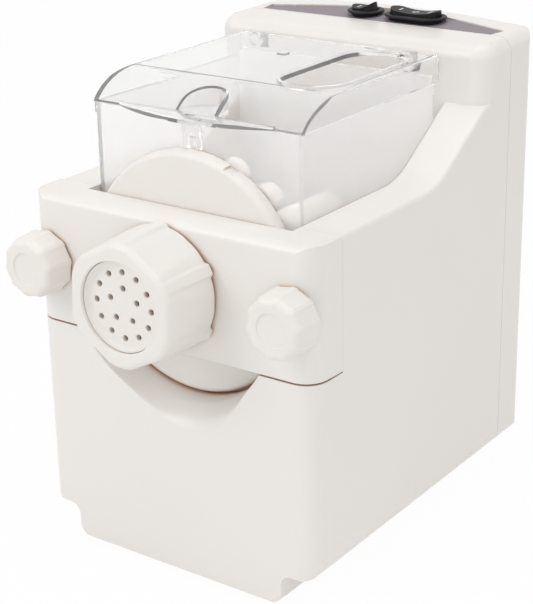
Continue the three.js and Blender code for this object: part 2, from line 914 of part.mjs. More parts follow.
// Die plate with its two rings of holes
function dieDisc() {
  const rear = plate.tubeFront - seatGap;
  const { front } = die;
  const holes = [];
  const ringOfHoles = (count, radius) => {
    for (let index = 0; index < count; index += 1) {
      const angle = Math.PI / 2 + index * turn / count;
      holes.push(rod(die.holeRadius, front - overrun, rear + overrun,
        radius * Math.cos(angle), axisHeight + radius * Math.sin(angle), facets.dieHole));
    }
  };
  ringOfHoles(die.outerHoles, die.radius * die.outerRingShare);
  ringOfHoles(die.innerHoles, die.radius * die.innerRingShare);
  return cut(rod(die.radius, front, rear), ...holes);
}

// Ribbed grip: rings of one lobed outline, run round the outside and back through the bore
function ribbedGrip(stations, count, ribCount, phase, x, z) {
  const positions = [];
  stations.forEach(({ y, radius, rise, dip }) => {
    for (let index = 0; index < count; index += 1) {
      const angle = index / count * turn;
      const wave = Math.cos((angle - phase) * ribCount);
      const crest = Math.max(wave, 0) ** ribs.sharpness;
      const flat = Math.min(wave, 0);
      const reach = radius + rise * crest + dip * flat;
      positions.push(x + reach * Math.cos(angle), y, z + reach * Math.sin(angle));
    }
  });
  const faces = [];
  stations.forEach((station, row) => {
    const next = (row + 1) % stations.length;
    for (let index = 0; index < count; index += 1) {
      const after = (index + 1) % count;
      const a = row * count + index;
      const b = row * count + after;
      const c = next * count + index;
      const d = next * count + after;
      faces.push(a, b, c, b, d, c);
    }
  });
  const geometry = new THREE.BufferGeometry();
  geometry.setAttribute('position', new THREE.Float32BufferAttribute(positions, 3));
  geometry.setIndex(faces);
  return solidOf(geometry);
}

function dieNut() {
  const { front, rear, edgeRound, ribRise, flatDip } = capNut;
  const plain = (y, radius) => ({ y, radius, rise: 0, dip: 0 });
  const lipRear = front + capNut.lipThickness;
  const stations = [
    { y: rear, radius: capNut.rearRadius - edgeRound, rise: 0, dip: 0 },
    { y: rear - edgeRound, radius: capNut.rearRadius, rise: ribRise, dip: 0 },
    { y: (rear + front) / 2, radius: capNut.rearRadius, rise: ribRise, dip: flatDip / 2 },
    { y: front + edgeRound, radius: capNut.frontRadius, rise: ribRise, dip: flatDip },
    { y: front, radius: capNut.frontRadius - edgeRound, rise: ribRise / 2, dip: flatDip / 2 },
    plain(front, capNut.lipRadius),
    plain(lipRear, capNut.lipRadius),
    plain(lipRear, capNut.boreRadius),
    plain(rear, capNut.boreRadius),
  ];
  return ribbedGrip(stations, facets.ring * facets.gripShare, capNut.ribCount,
    capNut.ribAngle * degrees, 0, axisHeight);
}

function thumbNut(side) {
  const x = side * thumb.spread;
  const { edgeRound, ribRise, length } = thumb;
  const point = (y, radius, rise) => ({ y, radius, rise, dip: rise * ribs.dipShare });
  const grip = ribbedGrip([
    point(-seatGap, thumb.radius - edgeRound, 0),
    point(-seatGap - edgeRound, thumb.radius, ribRise),
    point(edgeRound - length, thumb.frontRadius, ribRise),
    point(-length, thumb.frontRadius - edgeRound, ribRise / 2),
    point(-length, thumb.capRadius, 0),
    point(thumb.capDip - length, thumb.capRadius, 0),
    point(thumb.capDip - length, thumb.boreRadius, 0),
    point(-seatGap, thumb.boreRadius, 0),
  ], facets.ring, thumb.ribCount, 0, x, thumb.height);
  const cap = rod(thumb.capRadius - seatGap, thumb.capDip - length,
    -seatGap - thumb.boreDepth, x, thumb.height, facets.motor);
  return join(grip, cap);
}

// Studs through the bar ends, with a head behind the housing wall
function clampStud(side) {
  const x = side * thumb.spread;
  const wallRear = bar.endDepth + body.wall + seatGap;
  return turned([
    [0, stud.tipGap - thumb.boreDepth],
    [stud.radius, stud.tipGap - thumb.boreDepth],
    [stud.radius, wallRear],
    [stud.headRadius, wallRear],
    [stud.headRadius, wallRear + stud.headThickness],
    [0, wallRear + stud.headThickness],
  ], x, thumb.height, facets.small);
}

// Clear bowl: straight-sided above, round below, with a round front port
function mixingBowl() {
  const { neck } = bowl;
  const inner = neck - bowl.wall;
  const flangeFrom = bowl.top - bowl.flangeDrop;
  const outer = join(
    prismY(uOutline(neck, bowl.top), bowl.front, bowl.rear, facets.bowl),
    box(-bowl.halfWidth, bowl.halfWidth, bowl.front, bowl.rear, flangeFrom, bowl.top),
    box(-inner, inner, bowl.rear - bowl.wall, bowl.rear, flangeFrom, bowl.rearTop),
  );
  const room = prismY(uOutline(inner, bowl.top + overrun * 2), bowl.front + bowl.wall,
    bowl.rear - bowl.wall, facets.bowl);
  const port = rod(bowl.portRadius, bowl.front - overrun, bowl.front + overrun);
  const shaftHole = rod(bowl.shaftHole, bowl.rear - overrun, bowl.rear + overrun, 0, axisHeight,
    facets.small);
  const bead = box(-bowl.beadWidth / 2, bowl.beadWidth / 2, bowl.front - bowl.beadDepth,
    bowl.front + bowl.wall / 2, bowl.beadLift, bowl.beadLift + bowl.beadHeight);
  return join(cut(outer, room, port, shaftHole), bead);
}

// Lid side outline with its curved front
function lidOutline(inset) {
  const shape = new THREE.Shape();
  const front = lid.front + inset;
  const top = lid.top - inset;
  shape.moveTo(front, lid.bottom - (inset ? overrun : 0));
  shape.lineTo(lid.rear + (inset ? overrun : 0), lid.bottom - (inset ? overrun : 0));
  shape.lineTo(lid.rear + (inset ? overrun : 0), top);
  shape.lineTo(lid.curveEnd, top);
  shape.quadraticCurveTo(front + (lid.curveEnd - front) * lid.leadShare, top, front, lid.bottom + inset);
  shape.closePath();
  return shape;
}

function archOutline(radius, front) {
  const shape = new THREE.Shape();
  shape.moveTo(-radius, front);
  shape.lineTo(radius, front);
  shape.lineTo(radius, fingerPull.centre);
  shape.absarc(0, fingerPull.centre, radius, 0, Math.PI, false);
  shape.closePath();
  return shape;
}

function slotOutline(halfWidth, margin) {
  const y0 = fillSlot.front + fillSlot.halfWidth;
  const y1 = fillSlot.rear - fillSlot.halfWidth;
  const radius = halfWidth + margin;
  const shape = new THREE.Shape();
  shape.moveTo(fillSlot.centre + radius, y0);
  shape.lineTo(fillSlot.centre + radius, y1);
  shape.absarc(fillSlot.centre, y1, radius, 0, Math.PI, false);
  shape.lineTo(fillSlot.centre - radius, y0);
  shape.absarc(fillSlot.centre, y0, radius, Math.PI, turn, false);
  shape.closePath();
  return shape;
}

function clearLid() {
  const half = lid.halfWidth;
  const smooth = facets.fillet * 2;
  const endView = outline([
    [-half, lid.bottom],
    [half, lid.bottom],
    [half, lid.top, lid.sideRound],
    [-half, lid.top, lid.sideRound],
  ]);
  const outer = common(
    prismX(lidOutline(0), -half, half, smooth),
    prismY(endView, 0, body.depth),
  );
  const inside = prismX(lidOutline(lid.wall), lid.wall - half, half - lid.wall, smooth);
  const lipShape = new THREE.Shape();
  lipShape.moveTo(-lip.halfSpan, lid.front + lid.wall);
  lipShape.lineTo(-lip.halfSpan, lid.front);
  lipShape.quadraticCurveTo(0, lid.front - lip.reach * 2, lip.halfSpan, lid.front);
  lipShape.lineTo(lip.halfSpan, lid.front + lid.wall);
  lipShape.closePath();
  const visor = prismZ(lipShape, lid.bottom, lid.bottom + lip.thickness, smooth);
  const pullWall = common(
    prismZ(archOutline(fingerPull.radius + fingerPull.wall, lid.front), lid.bottom, lid.top, smooth),
    outer,
  );
  const pullCut = prismZ(archOutline(fingerPull.radius, 0), lid.bottom + lip.thickness,
    lid.top + overrun, smooth);
  const slotRim = prismZ(slotOutline(fillSlot.halfWidth, fillSlot.rimWall), lid.top - lid.wall,
    lid.top + fillSlot.rimRise, smooth);
  const slotCut = prismZ(slotOutline(fillSlot.halfWidth, 0), lid.bottom, lid.top + overrun, smooth);
  const tabs = hingeTab.places.map((x) => {
    const low = hingeTab.height - hingeTab.thickness / 2;
    const arm = outline([
      [lid.rear - hingeTab.rootLength, lid.top - lid.wall / 2],
      [lid.rear - hingeTab.rootLength, lid.top - hingeTab.rootDrop],
      [lid.rear - lid.wall, low],
      [hingeTab.end, low],
      [hingeTab.end, low + hingeTab.thickness],
      [lid.rear + lid.wall, low + hingeTab.thickness],
      [lid.rear, lid.top - lid.wall / 2],
    ]);
    return prismX(arm, x - hingeTab.width / 2, x + hingeTab.width / 2);
  });
  const tongueRear = bowl.front - seatGap;
  const tongueFront = tongueRear - catchTongue.thickness;
  const tongue = cut(
    box(-catchTongue.halfWidth, catchTongue.halfWidth, tongueFront, tongueRear,
      catchTongue.bottom, lid.bottom + lip.thickness),
    box(catchTongue.prongWidth - catchTongue.halfWidth,
      catchTongue.halfWidth - catchTongue.prongWidth, tongueFront - overrun,
      tongueRear + overrun, catchTongue.bottom - overrun,
      bowl.beadLift + bowl.beadHeight + catchTongue.gap),
  );
  const shell = join(cut(outer, inside), visor, pullWall, slotRim, ...tabs);
  return join(cut(shell, pullCut, slotCut), tongue);
}

// Screw flight: a tapered ridge swept round the shaft
function flight() {
  const turns = (screw.flightEnd - screw.front) / screw.pitch;
  const steps = Math.round(turns * facets.flightTurn);
  const root = screw.shaftRadius * screw.rootShare;
  const thick = screw.flightThickness / 2;
  const thin = thick * screw.flightThinShare;
  const section = [[root, -thick], [screw.flightRadius, -thin], [screw.flightRadius, thin], [root, thick]];
  const positions = [];
  for (let step = 0; step <= steps; step += 1) {
    const angle = step / facets.flightTurn * turn;
    const y = screw.front + thick + step / steps * (screw.flightEnd - screw.front - thick * 2);
    section.forEach(([radius, offset]) => {
      positions.push(radius * Math.cos(angle), y + offset, axisHeight + radius * Math.sin(angle));
    });
  }
  const sides = section.length;
  const faces = [];
  for (let step = 0; step < steps; step += 1) {
    for (let corner = 0; corner < sides; corner += 1) {
      const next = (corner + 1) % sides;
      const a = step * sides + corner;
      const b = step * sides + next;
      faces.push(a, b, a + sides, b, b + sides, a + sides);
    }
  }
  const last = steps * sides;
  faces.push(0, 2, 1, 0, 3, 2);
  faces.push(last, last + 1, last + 2, last, last + 2, last + 3);
  const geometry = new THREE.BufferGeometry();
  geometry.setAttribute('position', new THREE.Float32BufferAttribute(positions, 3));
  geometry.setIndex(faces);
  return solidOf(geometry);
}

// Paddle arm with two round lobes at its end
function paddleArm(station, angle) {
  const from = station;
  const to = station + paddle.armThickness;
  const radians = angle * degrees;
  const lobes = [-1, 1].map((side) => {
    const at = radians + side * paddle.lobeSpread * degrees;
    return rod(paddle.lobeRadius, from, to, paddle.lobeReach * Math.cos(at),
      axisHeight + paddle.lobeReach * Math.sin(at), facets.plain);
  });
  const wide = paddle.stemWidth / 2;
  const tip = paddle.lobeReach;
  const flare = Math.tan(paddle.lobeSpread * degrees) * paddle.lobeReach;
  const stemShape = outline([
    [0, -wide * paddle.rootShare],
    [tip / 2, -wide * paddle.waistShare],
    [tip, -flare],
    [tip, flare],
    [tip / 2, wide * paddle.waistShare],
    [0, wide * paddle.rootShare],
  ]);
  const stem = prismY(stemShape, from, to)
    .rotate([0, -angle, 0])
    .translate([0, 0, axisHeight]);
  return join(stem, ...lobes);
}

function mixingScrew() {
  const core = turned([
    [0, screw.front],
    [screw.shaftRadius * screw.noseShare, screw.front],
    [screw.shaftRadius, screw.front + screw.noseLength],
    [screw.shaftRadius, screw.flightEnd - screw.flightThickness],
    [screw.hubRadius, screw.flightEnd + screw.flightThickness],
    [screw.hubRadius, screw.shaftEnd],
    [0, screw.shaftEnd],
  ], 0, axisHeight, facets.plain);
  const arms = [];
  for (let index = 0; index < paddle.armCount; index += 1) {
    arms.push(paddleArm(screw.flightEnd + paddle.firstArm + index * paddle.armPitch,
      paddle.firstAngle + index * fullTurn / paddle.armCount));
  }
  const room = shaft.squareSide / 2 + seatGap;
  const socket = box(-room, room, screw.shaftEnd - screw.socketDepth,
    screw.shaftEnd + overrun, axisHeight - room, axisHeight + room);
  return cut(join(core, flight(), ...arms), socket);
}

// Involute gear outline
function gearOutline(teeth, gearModule, phase, curved) {
  const pitchRadius = teeth * gearModule / 2;
  const pressure = train.pressureAngle * degrees;
  const baseRadius = pitchRadius * Math.cos(pressure);
  const tipRadius = pitchRadius + gearModule;
  const rootRadius = pitchRadius - gearModule * train.rootClearShare;
  const involute = (value) => Math.tan(value) - value;
  const halfAngle = (radius) => {
    const roll = radius > baseRadius ? Math.acos(baseRadius / radius) : 0;
    const play = train.playPerFlank / pitchRadius;
    return Math.PI / (2 * teeth) + involute(pressure) - involute(roll) - play;
  };
  const radii = curved ? [rootRadius, pitchRadius, tipRadius] : [rootRadius, tipRadius];
  const shape = new THREE.Shape();
  for (let tooth = 0; tooth < teeth; tooth += 1) {
    const centre = phase + tooth / teeth * turn;
    const flanks = [
      ...radii.map((radius) => [radius, centre - halfAngle(radius)]),
      ...radii.slice().reverse().map((radius) => [radius, centre + halfAngle(radius)]),
    ];
    flanks.forEach(([radius, angle], index) => {
      const u = radius * Math.cos(angle);
      const v = radius * Math.sin(angle);
      if (tooth === 0 && index === 0) shape.moveTo(u, v);
      else shape.lineTo(u, v);
    });
  }
  shape.closePath();
  return shape;
}

// Shaft heights of the train, from the output axis down
const fastCentres = (train.fastPinionTeeth + train.fastWheelTeeth) * train.fastModule / 2;
const slowCentres = (train.slowPinionTeeth + train.slowWheelTeeth) * train.slowModule / 2;
const layHeight = axisHeight - slowCentres;
const motorHeight = layHeight - fastCentres;

const gearAt = (teeth, gearModule, phase, curved, from, length, height) =>
  prismY(gearOutline(teeth, gearModule, phase, curved), from, from + length, 1)
    .translate([0, 0, height]);

function outputWheel() {
  const phase = -Math.PI / 2 + Math.PI / train.slowWheelTeeth;
  const wheel = gearAt(train.slowWheelTeeth, train.slowModule, phase, false, train.slowPlane,
    train.slowFace, axisHeight);
  const hub = rod(train.hubRadius, train.slowPlane - seatGap, train.fastPlane, 0, axisHeight,
    facets.plain);
  const rimRadius = train.slowWheelTeeth * train.slowModule / 2 - train.hubRadius;
  const webSides = [
    train.slowPlane - overrun,
    train.slowPlane + train.slowFace - train.webDepth,
  ];
  const web = webSides.map((from) => {
    const inner = train.hubRadius + bush.wall;
    const to = from + overrun + train.webDepth;
    return turned([[inner, from], [rimRadius, from], [rimRadius, to], [inner, to], [inner, from]],
      0, axisHeight, facets.plain);
  });
  const bore = rod(shaft.outputRadius + snugGap, 0, body.depth, 0, axisHeight, facets.small);
  return cut(join(wheel, hub), ...web, bore);
}

function layGear() {
  const towardsOutput = Math.PI / 2;
  const pinion = gearAt(train.slowPinionTeeth, train.slowModule, towardsOutput, true,
    train.slowPlane, train.fastPlane - train.slowPlane, layHeight);
  const wheel = gearAt(train.fastWheelTeeth, train.fastModule,
    -Math.PI / 2 + Math.PI / train.fastWheelTeeth, false, train.fastPlane, train.fastFace,
    layHeight);
  const bore = rod(shaft.layRadius + snugGap, 0, body.depth, 0, layHeight, facets.small);
  return cut(join(pinion, wheel), bore);
}

function motorPinion() {
  const wheel = gearAt(train.fastPinionTeeth, train.fastModule, Math.PI / 2, true,
    train.fastPlane - seatGap * 2, train.fastFace + seatGap * 2, motorHeight);
  return cut(wheel, rod(motor.shaftRadius + snugGap, 0, body.depth, 0, motorHeight,
    facets.small));
}

function outputShaft() {
  const squareRear = bowl.rear + slideGap;
  const half = shaft.squareSide / 2;
  const rear = gearbox.rearPlane + gearbox.plateThickness + seatGap;
  return join(
    rod(shaft.outputRadius, squareRear, rear, 0, axisHeight, facets.small),
    box(-half, half, shaft.squareFront, squareRear + overrun, axisHeight - half, axisHeight + half),
  );
}

const layShaft = () => rod(shaft.layRadius, gearbox.frontPlane + seatGap,
  gearbox.rearPlane + gearbox.plateThickness - seatGap, 0, layHeight, facets.small);

// Gearbox plates, with posts on the front one
function gearboxOutline() {
  const top = axisHeight + gearbox.topMargin;
  const bottom = motorHeight - gearbox.bottomMargin;
  return outline([
    [-gearbox.halfWidth, bottom, gearbox.cornerRadius],
    [gearbox.halfWidth, bottom, gearbox.cornerRadius],
    [gearbox.halfWidth, top, gearbox.cornerRadius],
    [-gearbox.halfWidth, top, gearbox.cornerRadius],
  ]);
}

function postPlaces() {
  const x = gearbox.halfWidth - gearbox.postInset;
  const low = motorHeight - gearbox.bottomMargin + gearbox.postInset;
  const high = axisHeight + gearbox.topMargin - gearbox.postInset;
  return [[-x, low], [x, low], [-x, high], [x, high]];
}

function gearboxFront() {
  const from = gearbox.frontPlane;
  const to = from + gearbox.plateThickness;
  const sheet = prismY(gearboxOutline(), from, to);
  const posts = postPlaces().map(([x, z]) =>
    rod(gearbox.postRadius, from, gearbox.rearPlane - seatGap, x, z, facets.hole));
  const holes = [
    rod(shaft.outputRadius + bush.wall + seatGap, 0, body.depth, 0, axisHeight, facets.small),
    rod(shaft.layRadius + snugGap, 0, body.depth, 0, layHeight, facets.small),
    rod(motor.bossRadius, 0, body.depth, 0, motorHeight, facets.small),
  ];
  return cut(join(sheet, ...posts), ...holes);
}

function gearboxRear() {
  const from = gearbox.rearPlane;
  const sheet = prismY(gearboxOutline(), from, from + gearbox.plateThickness);
  const holes = [
    rod(shaft.outputRadius + bush.wall + seatGap, 0, body.depth, 0, axisHeight, facets.small),
    rod(shaft.layRadius + snugGap, 0, body.depth, 0, layHeight, facets.small),
  ];
  return cut(sheet, ...holes);
}

// Flanged bush of the output shaft; the flange lies on the inner side of its plate
function shaftBush(plane, inward) {
  const inner = shaft.outputRadius + shaft.runningGap / 2;
  const outer = shaft.outputRadius + bush.wall;
  const wide = outer + bush.flange;
  const outside = inward > 0 ? plane : plane + gearbox.plateThickness;
  const face = outside + inward * (gearbox.plateThickness + seatGap / 2);
  const end = face + inward * bush.flangeThickness;
  const profile = [[inner, outside], [outer, outside], [outer, face], [wide, face], [wide, end],
    [inner, end], [inner, outside]];
  return turned(inward > 0 ? profile : profile.reverse(), 0, axisHeight, facets.small);
}

// Lip seal where the output shaft enters the bay
function shaftSeal() {
  const inner = shaft.outputRadius + shaft.runningGap / 2;
  const outer = bowl.shaftHole - seatGap;
  const from = rim.towerFront - bowl.wall;
  const to = gearbox.frontPlane - bush.flangeThickness - seatGap;
  return turned([[inner, from], [outer, from], [outer, to], [inner, to], [inner, from]],
    0, axisHeight, facets.small);
}

// Motor: can with end bell, armature on its shaft, cooling fan
function motorCan() {
  const z = motorHeight;
  const inner = motor.canRadius - motor.canWall;
  const shaftRoom = motor.shaftRadius + shaft.runningGap;
  const rear = motor.bellRear - motor.bellThickness - seatGap;
  const can = turned([
    [shaftRoom, motor.canFront],
    [motor.canRadius - motor.canWall, motor.canFront],
    [motor.canRadius, motor.canFront + motor.canWall],
    [motor.canRadius, rear],
    [inner, rear],
    [inner, motor.canFront + motor.canWall],
    [shaftRoom, motor.canFront + motor.canWall],
    [shaftRoom, motor.canFront],
  ], 0, z, facets.motor);
  const windows = [];
  for (let index = 0; index < motor.windowCount; index += 1) {
    const angle = (index + 1 / 2) * fullTurn / motor.windowCount;
    const wide = motor.windowWidth / 2;
    windows.push(box(-wide, wide, rear - motor.commutatorLength, rear - overrun, inner - overrun,
      motor.canRadius + overrun).rotate([0, angle, 0]).translate([0, 0, z]));
  }
  return cut(can, ...windows);
}

function motorBell() {
  const z = motorHeight;
  const front = motor.bellRear - motor.bellThickness;
  const shaftRoom = motor.shaftRadius + shaft.runningGap;
  const disc = turned([
    [shaftRoom, front],
    [motor.canRadius, front],
    [motor.canRadius, motor.bellRear],
    [shaftRoom, motor.bellRear],
    [shaftRoom, front],
  ], 0, z, facets.motor);
  const reach = motor.footWidth / 2;
  const lug = box(-reach, reach, motor.bellRear - motor.bellThickness / 2,
    gearbox.frontPlane - seatGap, z - motor.canRadius - bush.wall, z + motor.canRadius);
  const clear = rod(shaftRoom, 0, body.depth, 0, z, facets.small);
  return cut(join(disc, lug), clear);
}

function armature() {
  const z = motorHeight;
  const rear = train.fastPlane + train.fastFace;
  const core = join(
    rod(motor.shaftRadius, motor.fanFront, rear, 0, z, facets.small),
    rod(motor.armatureRadius, motor.armatureFront, motor.armatureRear, 0, z, facets.motor),
    rod(motor.commutatorRadius, motor.armatureFront - overrun, motor.armatureRear + overrun / 2,
      0, z, facets.small),
  );
  const slots = [];
  for (let index = 0; index < motor.slotCount; index += 1) {
    const angle = index * fullTurn / motor.slotCount;
    const wide = motor.slotWidth / 2;
    slots.push(box(-wide, wide, motor.armatureFront - overrun * 2, motor.armatureRear + overrun,
      motor.armatureRadius - overrun, motor.armatureRadius + overrun)
      .rotate([0, angle, 0]).translate([0, 0, z]));
  }
  return cut(core, ...slots);
}

function motorFan() {
  const z = motorHeight;
  const inner = motor.shaftRadius + snugGap;
  const hub = motor.bossRadius;
  const front = motor.fanFront + bush.wall;
  const disc = join(
    rod(hub, front, front + motor.fanThickness, 0, z, facets.small),
    rod(motor.fanRadius, front + motor.fanThickness - motor.fanBladeThickness,
      front + motor.fanThickness, 0, z, facets.motor),
  );
  const blades = [];
  for (let index = 0; index < motor.fanBlades; index += 1) {
    const angle = index * fullTurn / motor.fanBlades;
    const half = motor.fanBladeThickness / 2;
    blades.push(box(-half, half, front, front + motor.fanThickness - half, hub - half,
      motor.fanRadius - half).rotate([0, angle, 0]).translate([0, 0, z]));
  }
  return cut(join(disc, ...blades), rod(inner, 0, body.depth, 0, z, facets.small));
}

// Control board on its stands, with a heat sink and capacitors
function controlBoard() {
  const half = board.width / 2;
  const low = base.lip + base.thickness + board.standHeight + seatGap;
  const top = low + board.thickness;
  const near = board.front;
  const sheet = box(-half, half, near, near + board.depth, low, top);
  const parts = [];
  for (let index = 0; index < board.finCount; index += 1) {
    const x = board.finInset - half;
    const y = near + board.finInset + index * board.finPitch;
    parts.push(box(x, x + board.finWidth, y, y + board.thickness, low, top + board.partHeight));
  }
  for (let index = 0; index < board.canCount; index += 1) {
    parts.push(post(board.canRadius, board.canPitch * (index + 1), near + board.depth / 2,
      low, top + board.partHeight));
  }
  return join(sheet, ...parts);
}

// Safety switch behind the right-hand lid slot
function interlockSwitch() {
  const x = hingeTab.places[1];
  const near = hingeTab.end + lidSwitch.standOff;
  const clip = box(x - lidSwitch.width, x + lidSwitch.width, gearbox.frontPlane,
    gearbox.frontPlane + bush.wall, tabSlot.bottom - lidSwitch.height - overrun,
    tabSlot.bottom - slideGap);
  const block = box(x - lidSwitch.width / 2, x + lidSwitch.width / 2, near,
    near + lidSwitch.depth, tabSlot.bottom - lidSwitch.height / 2, tabSlot.bottom + lidSwitch.height / 2);
  const bridge = box(x - lidSwitch.width / 2, x + lidSwitch.width / 2, gearbox.frontPlane,
    near + bush.wall, tabSlot.bottom - lidSwitch.height / 2, tabSlot.bottom - slideGap);
  return join(clip, block, bridge);
}

// Cord bush in the rear wall, without its cord
function cordBush() {
  const { across, height, radius, flange, bore, sleeve, rise } = cordHole;
  const wallFront = body.depth - body.wall;
  const outside = body.depth;
  return turned([
    [bore, wallFront - sleeve],
    [radius, wallFront - sleeve],
    [radius, outside - seatGap],
    [radius, outside + seatGap],
    [radius + flange, outside + seatGap],
    [radius + flange, outside + rise],
    [bore, outside + rise],
    [bore, wallFront - sleeve],
  ], across, height, facets.plain);
}

// Assembly
const pieces = new THREE.Group();
function add(name, solid, look) {
  const mesh = new THREE.Mesh(geometryOf(solid), new THREE.MeshStandardMaterial(look));
  mesh.name = name;
  pieces.add(mesh);
}

add('main_housing', mainHousing(), finish.whiteShell);
add('rear_cover', rearCover(), finish.whiteShell);
add('base_plate', basePlate(), finish.whitePart);
footPlaces().forEach(([x, y], index) => {
  const names = ['foot_front_left', 'foot_front_right', 'foot_rear_left', 'foot_rear_right'];
  add(names[index], rubberFoot(x, y), finish.rubber);
});
add('front_bar', frontBar(), finish.whiteShell);
add('clamp_stud_left', clampStud(-1), finish.steel);
add('clamp_stud_right', clampStud(1), finish.steel);
add('thumb_nut_left', thumbNut(-1), finish.whitePart);
add('thumb_nut_right', thumbNut(1), finish.whitePart);
add('end_plate', endPlate(), finish.whitePart);
add('plate_seal', plateSeal(), finish.silicone);
add('die_nut', dieNut(), finish.whitePart);
add('die_disc', dieDisc(), finish.whitePart);
add('mixing_bowl', mixingBowl(), finish.clear);
add('lid', clearLid(), finish.clear);
add('mixing_screw', mixingScrew(), finish.whitePart);
add('output_shaft', outputShaft(), finish.steel);
add('output_gear', outputWheel(), finish.nylon);
add('lay_shaft', layShaft(), finish.steel);
add('lay_gear', layGear(), finish.nylon);
add('motor_pinion', motorPinion(), finish.brass);
add('motor_armature', armature(), finish.copper);
add('motor_fan', motorFan(), finish.black);
add('motor_can', motorCan(), finish.steel);
add('motor_bell', motorBell(), finish.steel);
add('gearbox_front_plate', gearboxFront(), finish.steel);
add('gearbox_rear_plate', gearboxRear(), finish.steel);
add('front_bush', shaftBush(gearbox.frontPlane, 1), finish.brass);
add('rear_bush', shaftBush(gearbox.rearPlane, -1), finish.brass);
add('shaft_seal', shaftSeal(), finish.rubber);
add('control_panel', controlPanel(), finish.taupe);
add('power_switch_frame', switchFrame(roundSwitch), finish.black);
add('power_rocker', rocker(roundSwitch, roundSwitch.restTilt), finish.black);
add('mode_switch_frame', switchFrame(longSwitch), finish.black);
add('mode_rocker', rocker(longSwitch, longSwitch.restTilt), finish.black);
add('control_board', controlBoard(), finish.circuit);
add('lid_safety_switch', interlockSwitch(), finish.black);
add('cord_bush', cordBush(), finish.black);

// Bottom centre of the whole box, standing on the feet
const boxFront = capNut.front;
const boxRear = body.depth + cordHole.rise;
pieces.position.set(0, -(boxFront + boxRear) / 2, foot.exposed);
const pastaMaker = new THREE.Group();
pastaMaker.add(pieces);
pastaMaker.updateMatrixWorld(true);

export default pastaMaker;
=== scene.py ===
# %% [markdown]
# # An electric pasta maker, built around its own frame
# The machine has a white housing with a tall tower at the back, a clear bowl with a
# clear lid in front of it, and a front bar that two thumb nuts press against the bowl.
# Everything here is measured from the front face (depth 0) and from the underside of
# the plinth (height 0), in millimetres, and `spot` turns that into Blender's metres.

import json
from math import atan2, cos, degrees, pi, radians, sin, sqrt, tan

import bpy
from mathutils import Matrix, Vector

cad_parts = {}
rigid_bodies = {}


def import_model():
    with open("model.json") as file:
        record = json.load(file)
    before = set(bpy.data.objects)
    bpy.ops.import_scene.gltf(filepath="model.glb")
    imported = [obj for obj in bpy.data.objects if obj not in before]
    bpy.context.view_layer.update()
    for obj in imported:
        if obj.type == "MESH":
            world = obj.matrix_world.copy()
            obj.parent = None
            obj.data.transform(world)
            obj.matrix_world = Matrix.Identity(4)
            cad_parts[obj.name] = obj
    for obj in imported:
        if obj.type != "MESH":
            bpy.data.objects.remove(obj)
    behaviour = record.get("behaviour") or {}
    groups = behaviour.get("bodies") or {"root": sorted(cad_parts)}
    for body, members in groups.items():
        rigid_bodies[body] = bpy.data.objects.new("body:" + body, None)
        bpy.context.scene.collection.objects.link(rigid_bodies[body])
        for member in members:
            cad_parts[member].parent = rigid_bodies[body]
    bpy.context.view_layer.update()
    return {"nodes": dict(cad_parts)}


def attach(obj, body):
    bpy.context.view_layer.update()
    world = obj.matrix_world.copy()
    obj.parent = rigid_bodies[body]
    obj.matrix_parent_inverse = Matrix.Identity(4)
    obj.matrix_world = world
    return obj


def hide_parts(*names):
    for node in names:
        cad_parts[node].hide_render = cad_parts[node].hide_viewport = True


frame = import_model()

MM = 0.001
FRONT_DEPTH = 105.75
FOOT_HEIGHT = 3.0


def spot(x, y, z):
    """A point given in the machine's millimetres, as Blender's metres."""
    return Vector((x, y - FRONT_DEPTH, z + FOOT_HEIGHT)) * MM


# %% [markdown]
# ## Camera
# A product photograph is usually taken with a long lens from a little above. The place,
# the turn and the long lens below were found from edges whose real sizes are known, so
# that each edge of the model falls on the same edge of the picture.

# %% Camera
CAMERA_SPOT = (536.9, -644.7, 494.0)
CAMERA_AZIMUTH = radians(35.908)
CAMERA_HEIGHT_ANGLE = radians(21.199)
CAMERA_ROLL = radians(-1.172)
SENSOR_MM = 36.0
LENS_PIXELS = 1600
PICTURE_PIXELS = 533
LENS_MM = LENS_PIXELS / PICTURE_PIXELS * SENSOR_MM
NEAREST = 0.01

back = Vector((
    sin(CAMERA_AZIMUTH) * cos(CAMERA_HEIGHT_ANGLE),
    -cos(CAMERA_AZIMUTH) * cos(CAMERA_HEIGHT_ANGLE),
    sin(CAMERA_HEIGHT_ANGLE),
))
level_right = (-back).cross(Vector((0, 0, 1))).normalized()
level_up = level_right.cross(-back)
right = level_right * cos(CAMERA_ROLL) + level_up * sin(CAMERA_ROLL)
up = level_up * cos(CAMERA_ROLL) - level_right * sin(CAMERA_ROLL)
camera_data = bpy.data.cameras.new("camera")
camera_data.lens = LENS_MM
camera_data.sensor_width = SENSOR_MM
camera_data.sensor_fit = "HORIZONTAL"
camera_data.clip_start = NEAREST
camera = bpy.data.objects.new("camera", camera_data)
bpy.context.scene.collection.objects.link(camera)
turn = Matrix((right, up, back)).transposed().to_4x4()
camera.matrix_world = Matrix.Translation(spot(*CAMERA_SPOT)) @ turn
bpy.context.scene.camera = camera
print("camera lens", round(LENS_MM, 2), "mm at", [round(v, 3) for v in camera.location])


# %% [markdown]
# ## Shader maths written as sums
# A procedural material is a small formula. A `Wire` wraps one output socket, so that
# `wire * 2 + 1` adds the Math nodes by itself. Any other node comes from `Wire.node`,
# which takes the node's type, its settings and what its sockets get.

